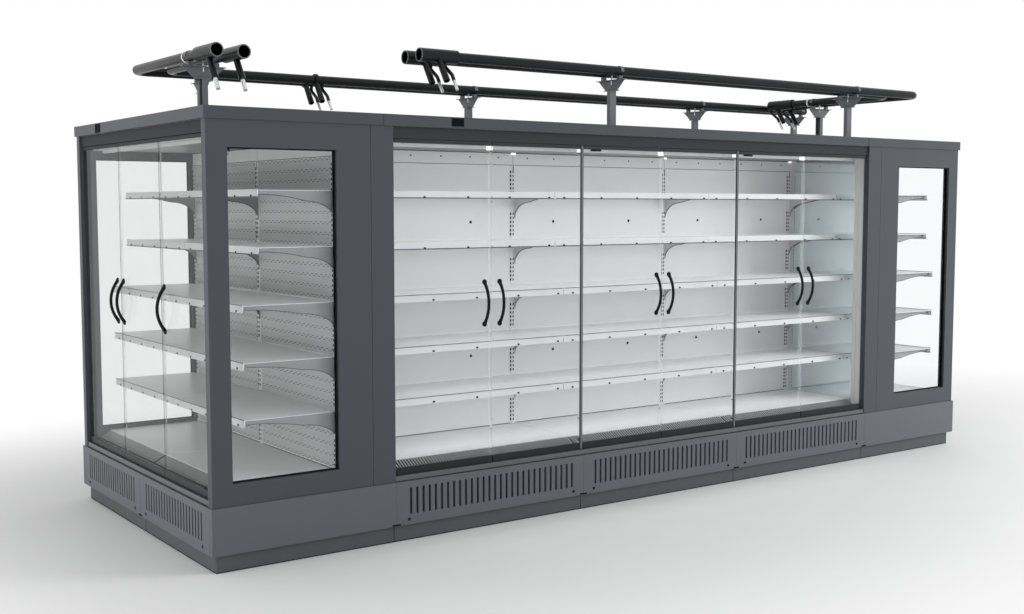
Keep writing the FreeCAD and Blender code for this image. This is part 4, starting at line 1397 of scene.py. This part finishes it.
    @staticmethod
    def jambs() -> None:
        """A cream strip and a bright strip down each end wall of a run, in front of its mirror."""
        cream, bright = Shell(), Shell()
        z = (LAYOUT.sill_top, LAYOUT.canopy_base)
        for side in (Side.FRONT, Side.REAR):
            for sign in (-1, 1):
                edge = sign * LAYOUT.run_half
                cream.boxes(side, (edge - sign * 0.006, edge - sign * 0.0002), (0.088, 0.114), z)
                bright.boxes(side, (edge - sign * 0.008, edge - sign * 0.0045), (0.114, 0.121), z)
        attach(cream, "end_wall_strips", "cream", bevel=0.001)
        attach(bright, "mirror_edge_strips", "aluminium", bevel=0.0008)

    def ceiling_hook(self) -> None:
        """A small wire hook under the ceiling of the left end case."""
        s = self.sizes
        angle = np.linspace(0, 1.3 * math.pi, 16)
        hook = np.column_stack([s.hook_radius * np.cos(angle) + s.hook_x, np.full(16, s.hook_depth),
                                s.hook_radius * np.sin(angle) + s.hook_z])
        stem_x = s.hook_x + s.hook_radius
        stem = np.array([[stem_x, s.hook_depth, LAYOUT.canopy_base], [stem_x, s.hook_depth, s.hook_z + 0.020]])
        shell = Shell()
        shell.tube(Side.LEFT.place(np.vstack([stem, hook])), EAST, s.hook_wire, 10)
        attach(shell, "ceiling_hook", "gasket")


# ---- Casing ----

@dataclass(frozen=True)
class CasingSizes:
    """Sizes of the windows' frames, the skirt's details, the slim posts and the displays."""

    front_stile: float = 0.105
    rear_stile: float = 0.1945
    filler: float = 0.131
    bottom_rail: float = 0.109
    top_rail: float = 0.131
    gasket_faces: Span = (0.019, 0.033)
    skirt_face: float = -0.008
    slot_pitch: float = 0.0384
    bay_slots: int = 29
    end_slots: int = 21
    end_slots_centre: float = 0.4816
    screw_shift: float = 0.012
    screw_height: float = 0.118
    screw_profile: tuple[Span, ...] = ((-0.001, 0.0088), (0.0008, 0.0088), (0.0018, 0.007))
    kick_past_run: float = 0.982
    kick_past_end: float = 0.018
    post_half: float = 0.0093
    post_depth: Span = (0.0185, 0.0290)
    cover_half: float = 0.0050
    cover_depth: Span = (0.0170, 0.0195)
    front_display: tuple[Span, Span] = ((-1.5245, -1.4515), (2.176, 2.215))
    left_display: tuple[Span, Span] = ((-0.598, -0.513), (2.170, 2.215))


class Casing:
    """Window gaskets, the skirt's screws, tabs and seams, a painted contact shadow along the kick boards, the posts
    between the bays and the blank displays.
    """

    def __init__(self, sizes: CasingSizes = CasingSizes()) -> None:
        self.sizes = sizes

    def build(self) -> None:
        """Make the pieces of the casing."""
        self.windows()
        self.skirt()
        self.posts()
        self.displays()

    def windows(self) -> None:
        """A rubber gasket round each side window, against the outer and the inner face of its pane."""
        s = self.sizes
        gaskets = Shell()
        right = LAYOUT.half_length - s.front_stile
        left = LAYOUT.run_half + s.filler + s.rear_stile
        z = (LAYOUT.skirt_top + s.bottom_rail, LAYOUT.header_top - s.top_rail)
        for side in (Side.FRONT, Side.REAR):
            for x in ((left, right), (-right, -left)):
                for y, out in zip(s.gasket_faces, (-1.0, 1.0)):
                    section = ((-0.006, y), (-0.006, y + out * 0.002), (-0.004, y + out * 0.004),
                               (-0.0002, y + out * 0.004), (-0.0002, y))
                    gaskets.frame_round(side, x, z, section)
        attach(gaskets, "window_gaskets", "gasket")

    def skirt(self) -> None:
        """Screws at the ends of each slot row, dark tabs and lines round the seams, seam strips, and a near-black strip
        of painted contact shadow along the foot of each kick board.
        """
        s = self.sizes
        screws, tabs_and_contact_shadow, strips = Shell(), Shell(), Shell()
        base, face = LAYOUT.skirt_base, s.skirt_face
        for side in Side:
            if side.is_run:
                centres, seams = (side.lines[:-1] + side.lines[1:]) / 2, side.lines
                half, past = s.slot_pitch * (s.bay_slots - 1) / 2, s.kick_past_run
            else:
                centres, seams = np.array([-s.end_slots_centre, s.end_slots_centre]), np.array([0.0])
                half, past = s.slot_pitch * (s.end_slots - 1) / 2, s.kick_past_end
            for x in np.concatenate([centres - half - s.screw_shift, centres + half + s.screw_shift]):
                start = side.place(np.array([x, face, s.screw_height]))
                screws.turned(s.screw_profile, start, side.heading(0.0, -1.0), 12)
            tabs_and_contact_shadow.boxes(side, np.column_stack([seams - 0.026, seams + 0.022]), (face - 0.0015, face + 0.004),
                       (base + 0.002, base + 0.010))
            strips.boxes(side, about(seams, 0.0010), (face - 0.0004, face + 0.004),
                         (base + 0.011, LAYOUT.skirt_top - 0.001))
            kick = LAYOUT.kick_inset(side)
            tabs_and_contact_shadow.boxes(side, np.column_stack([seams - 0.0025, seams + 0.0005]), (kick - 0.0005, kick + 0.004),
                       (0.004, base - 0.001))
            # Painted contact shadow: a near-black strip along the foot of the kick board, where it meets the floor.
            reach = side.half_span + past
            tabs_and_contact_shadow.boxes(side, (-reach, reach), (kick - 0.0005, kick + 0.003), (0.0002, 0.0045))
        attach(screws, "skirt_screws", "gasket")
        attach(tabs_and_contact_shadow, "skirt_tabs_and_contact_shadow", "dark_gap")
        attach(strips, "skirt_seams", "kick_board")

    def posts(self) -> None:
        """A slim post between the leaves of neighbouring bays, with a lighter cover strip down its front."""
        s = self.sizes
        covers, bodies = Shell(), Shell()
        for side in (Side.FRONT, Side.REAR):
            x = side.lines[1:-1]
            z = (LAYOUT.sill_top + 0.0005, LAYOUT.header_base - 0.0005)
            bodies.boxes(side, about(x, s.post_half), s.post_depth, z)
            covers.boxes(side, about(x, s.cover_half), s.cover_depth, (z[0] + 0.004, z[1] - 0.004))
        attach(bodies, "slim_posts", "post_body", bevel=0.0008, replaces=("mullions",))
        attach(covers, "post_covers", "post_cover", bevel=0.0008)

    def displays(self) -> None:
        """A small blank display with a thin bezel on the fascia of the front and of the left end."""
        glass, bezel = Shell(), Shell()
        for side, (x, z) in ((Side.FRONT, self.sizes.front_display), (Side.LEFT, self.sizes.left_display)):
            glass.boxes(side, x, (-0.0112, -0.008), z)
            section = ((-0.0001, -0.0116), (0.002, -0.0116), (0.003, -0.0108), (0.003, -0.0095), (-0.0001, -0.0095))
            bezel.frame_round(side, x, z, section)
        attach(glass, "display_windows", "display", bevel=0.0008)
        attach(bezel, "display_bezels", "display_bezel")


# ---- Stage ----

@dataclass(frozen=True)
class CameraPose:
    """The camera of the photograph, solved from the island's own straight lines."""

    place: tuple[float, float, float] = (-5.1238, -6.5600, 1.7535)
    down: float = 4.586
    turn: float = -35.632
    lens: float = 43.97
    sensor: float = 36.0


@dataclass(frozen=True)
class Lighting:
    """Strengths of the lamps and tones of the floor and the backdrop.

    Attributes:
        key, low_left, low_right: Watts of the three panels outside the island.
        trays: Watts to the metre of the strips over the shelves and the deck, from the lowest roof up.
        end_tray_share: The share of that in the two end cases.
        run_fill, end_fill: The radiance of the panel before a run and before an end case.
        fill_height: The height of those panels.
        world: The strength of the backdrop as a light, and as it is seen.
        floor_fade: Where the floor starts to fade to white, and where it has faded.
        floor_tone: The darkest and lightest tone of the floor.
    """

    key: float = 500.0
    low_left: float = 60.0
    low_right: float = 42.0
    trays: tuple[float, ...] = (0.58, 0.46, 0.46, 0.50, 0.58, 0.76)
    end_tray_share: float = 0.12
    run_fill: float = 0.07
    end_fill: float = 0.02
    fill_height: float = 1.6
    world: Span = (0.60, 1.0)
    floor_fade: Span = (1.7, 4.3)
    floor_tone: Span = (0.88, 0.92)


class Stage:
    """Floor, backdrop, lamps and camera."""

    def __init__(self, lighting: Lighting = Lighting()) -> None:
        self.lighting = lighting

    def build(self) -> None:
        """Set the scene round the island."""
        self.view()
        self.backdrop()
        self.floor()
        self.lamps()
        self.camera()

    @staticmethod
    def view() -> None:
        """Show colours as they are."""
        bpy.context.scene.view_settings.view_transform = "Standard"

    def backdrop(self) -> None:
        """White to the eye, in mirrors and through glass, and a softer white as a light."""
        world = bpy.data.worlds.new("soft_box")
        world.use_nodes = True
        world.node_tree.nodes.clear()
        make = Nodes(world.node_tree)
        path = make.new("ShaderNodeLightPath").outputs
        seen = make.new("ShaderNodeMath", {0: path["Is Camera Ray"], 1: path["Is Glossy Ray"]}, operation="MAXIMUM")
        seen = make.new("ShaderNodeMath", {0: seen.outputs[0], 1: path["Is Transmission Ray"]}, operation="MAXIMUM")
        dim, bright = self.lighting.world
        strength = make.new("ShaderNodeMapRange", {0: seen.outputs[0], 3: dim, 4: bright})
        light = make.new("ShaderNodeBackground", {"Color": (1, 1, 1, 1), "Strength": strength.outputs[0]})
        make.new("ShaderNodeOutputWorld", {"Surface": light.outputs[0]})
        bpy.context.scene.world = world

    def floor(self) -> None:
        """A pale floor that fades to the white of the backdrop away from the island."""
        shell = Shell()
        shell.boxes(None, (-60, 60), (-60, 60), (-0.02, -0.0005))
        floor = shell.build("floor")
        material = bpy.data.materials.new("pale_floor")
        material.use_nodes = True
        material.node_tree.nodes.clear()
        make = Nodes(material.node_tree)
        place = make.new("ShaderNodeTexCoord").outputs["Object"]
        squeezed = make.new("ShaderNodeVectorMath", {0: place, 1: (0.55, 1.0, 0.0)}, operation="MULTIPLY").outputs[0]
        away = make.new("ShaderNodeVectorMath", {0: squeezed}, operation="LENGTH").outputs["Value"]
        near, far = self.lighting.floor_fade
        fade = make.new("ShaderNodeMapRange", {0: away, 1: near, 2: far}, interpolation_type="SMOOTHSTEP").outputs[0]
        mottle = make.new("ShaderNodeTexNoise", {"Vector": place, "Scale": 2.0, "Detail": 4.0}).outputs[0]
        dark, light = self.lighting.floor_tone
        tone = make.new("ShaderNodeMapRange", {0: mottle, 3: dark, 4: light}).outputs[0]
        pale = make.new("ShaderNodeBsdfPrincipled", {"Base Color": tone, "Roughness": 0.6, "Specular IOR Level": 0.1})
        white = make.new("ShaderNodeEmission", {"Color": (1, 1, 1, 1), "Strength": 1.0})
        both = make.new("ShaderNodeMixShader", {0: fade, 1: pale.outputs[0], 2: white.outputs[0]})
        make.new("ShaderNodeOutputMaterial", {"Surface": both.outputs[0]})
        floor.data.materials.append(material)

    def lamps(self) -> None:
        """A wide panel out to the front right, low ones at the left and right, and strips above each tray and deck."""
        light = self.lighting
        self.panel("key_panel", (7.0, -7.0, 3.5), (-7.0, 6.0, -2.5), (4.0, 4.0), light.key)
        self.panel("low_left_panel", (-6.2, -0.6, 0.7), (3.2, 0.5, -0.45), (2.4, 0.8), light.low_left)
        self.panel("low_right_panel", (5.4, -4.6, 0.6), (-2.6, 3.4, -0.45), (2.0, 0.6), light.low_right)
        roofs = (*LAYOUT.shelf_tops, LAYOUT.canopy_base + 0.020)
        fronts = (*LAYOUT.shelf_fronts, 0.200)
        for side in Side:
            ahead = side.heading(0.0, 1.0)
            wide = 2 * side.half_span - 0.1
            place = side.place(np.array([0, 0.060, 1.24]))
            level = light.run_fill if side.is_run else light.end_fill
            self.panel(f"{side.value}_fill", place, ahead, (wide, light.fill_height),
                       level * math.pi * wide * light.fill_height)
            for number, (roof, front, bright) in enumerate(zip(roofs, fronts, light.trays), 1):
                place = side.place(np.array([0, front + 0.060, roof - 0.050]))
                power = (bright if side.is_run else light.end_tray_share * bright) * wide
                self.panel(f"{side.value}_tray_lamp_{number}", place, 0.5 * ahead - UP, (wide, 0.06), power)

    @staticmethod
    def panel(name: str, place: Sequence[float], ahead: Sequence[float], size: Span, power: float) -> None:
        """A flat lamp that can't be seen in mirrors or glass.

        Args:
            name: Its name.
            place: Its centre.
            ahead: The way that it shines.
            size: Its width and height.
            power: Its power in watts.
        """
        data = bpy.data.lights.new(name, "AREA")
        data.shape = "RECTANGLE"
        data.size, data.size_y = size
        data.energy = power
        lamp = bpy.data.objects.new(name, data)
        lamp.location = tuple(place)
        direction = Vector(tuple(ahead)).normalized()
        lamp.rotation_euler = direction.to_track_quat("-Z", "Y").to_euler()
        lamp.visible_glossy = False
        lamp.visible_transmission = False
        bpy.context.scene.collection.objects.link(lamp)

    @staticmethod
    def camera(pose: CameraPose = CameraPose()) -> None:
        """Stand the camera where the photograph was taken from.

        Args:
            pose: Its place, turn and lens.
        """
        data = bpy.data.cameras.new("photo_camera")
        data.lens = pose.lens
        data.sensor_width = pose.sensor
        data.clip_end = 200
        holder = bpy.data.objects.new("photo_camera", data)
        holder.location = pose.place
        holder.rotation_euler = (math.radians(90 - pose.down), 0, math.radians(pose.turn))
        bpy.context.scene.collection.objects.link(holder)
        bpy.context.scene.camera = holder


def main() -> None:
    """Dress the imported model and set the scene."""
    logging.basicConfig(level=logging.INFO, format="%(name)s: %(message)s")
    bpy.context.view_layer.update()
    finish_nodes(frame["nodes"])
    for part in (HeaderPipes(), PipeStands(), Doors(), Shelving(), ColdSpace(), Casing(), Stage()):
        part.build()
        LOG.info("built %s", type(part).__name__)


if __name__ == "__main__":
    main()
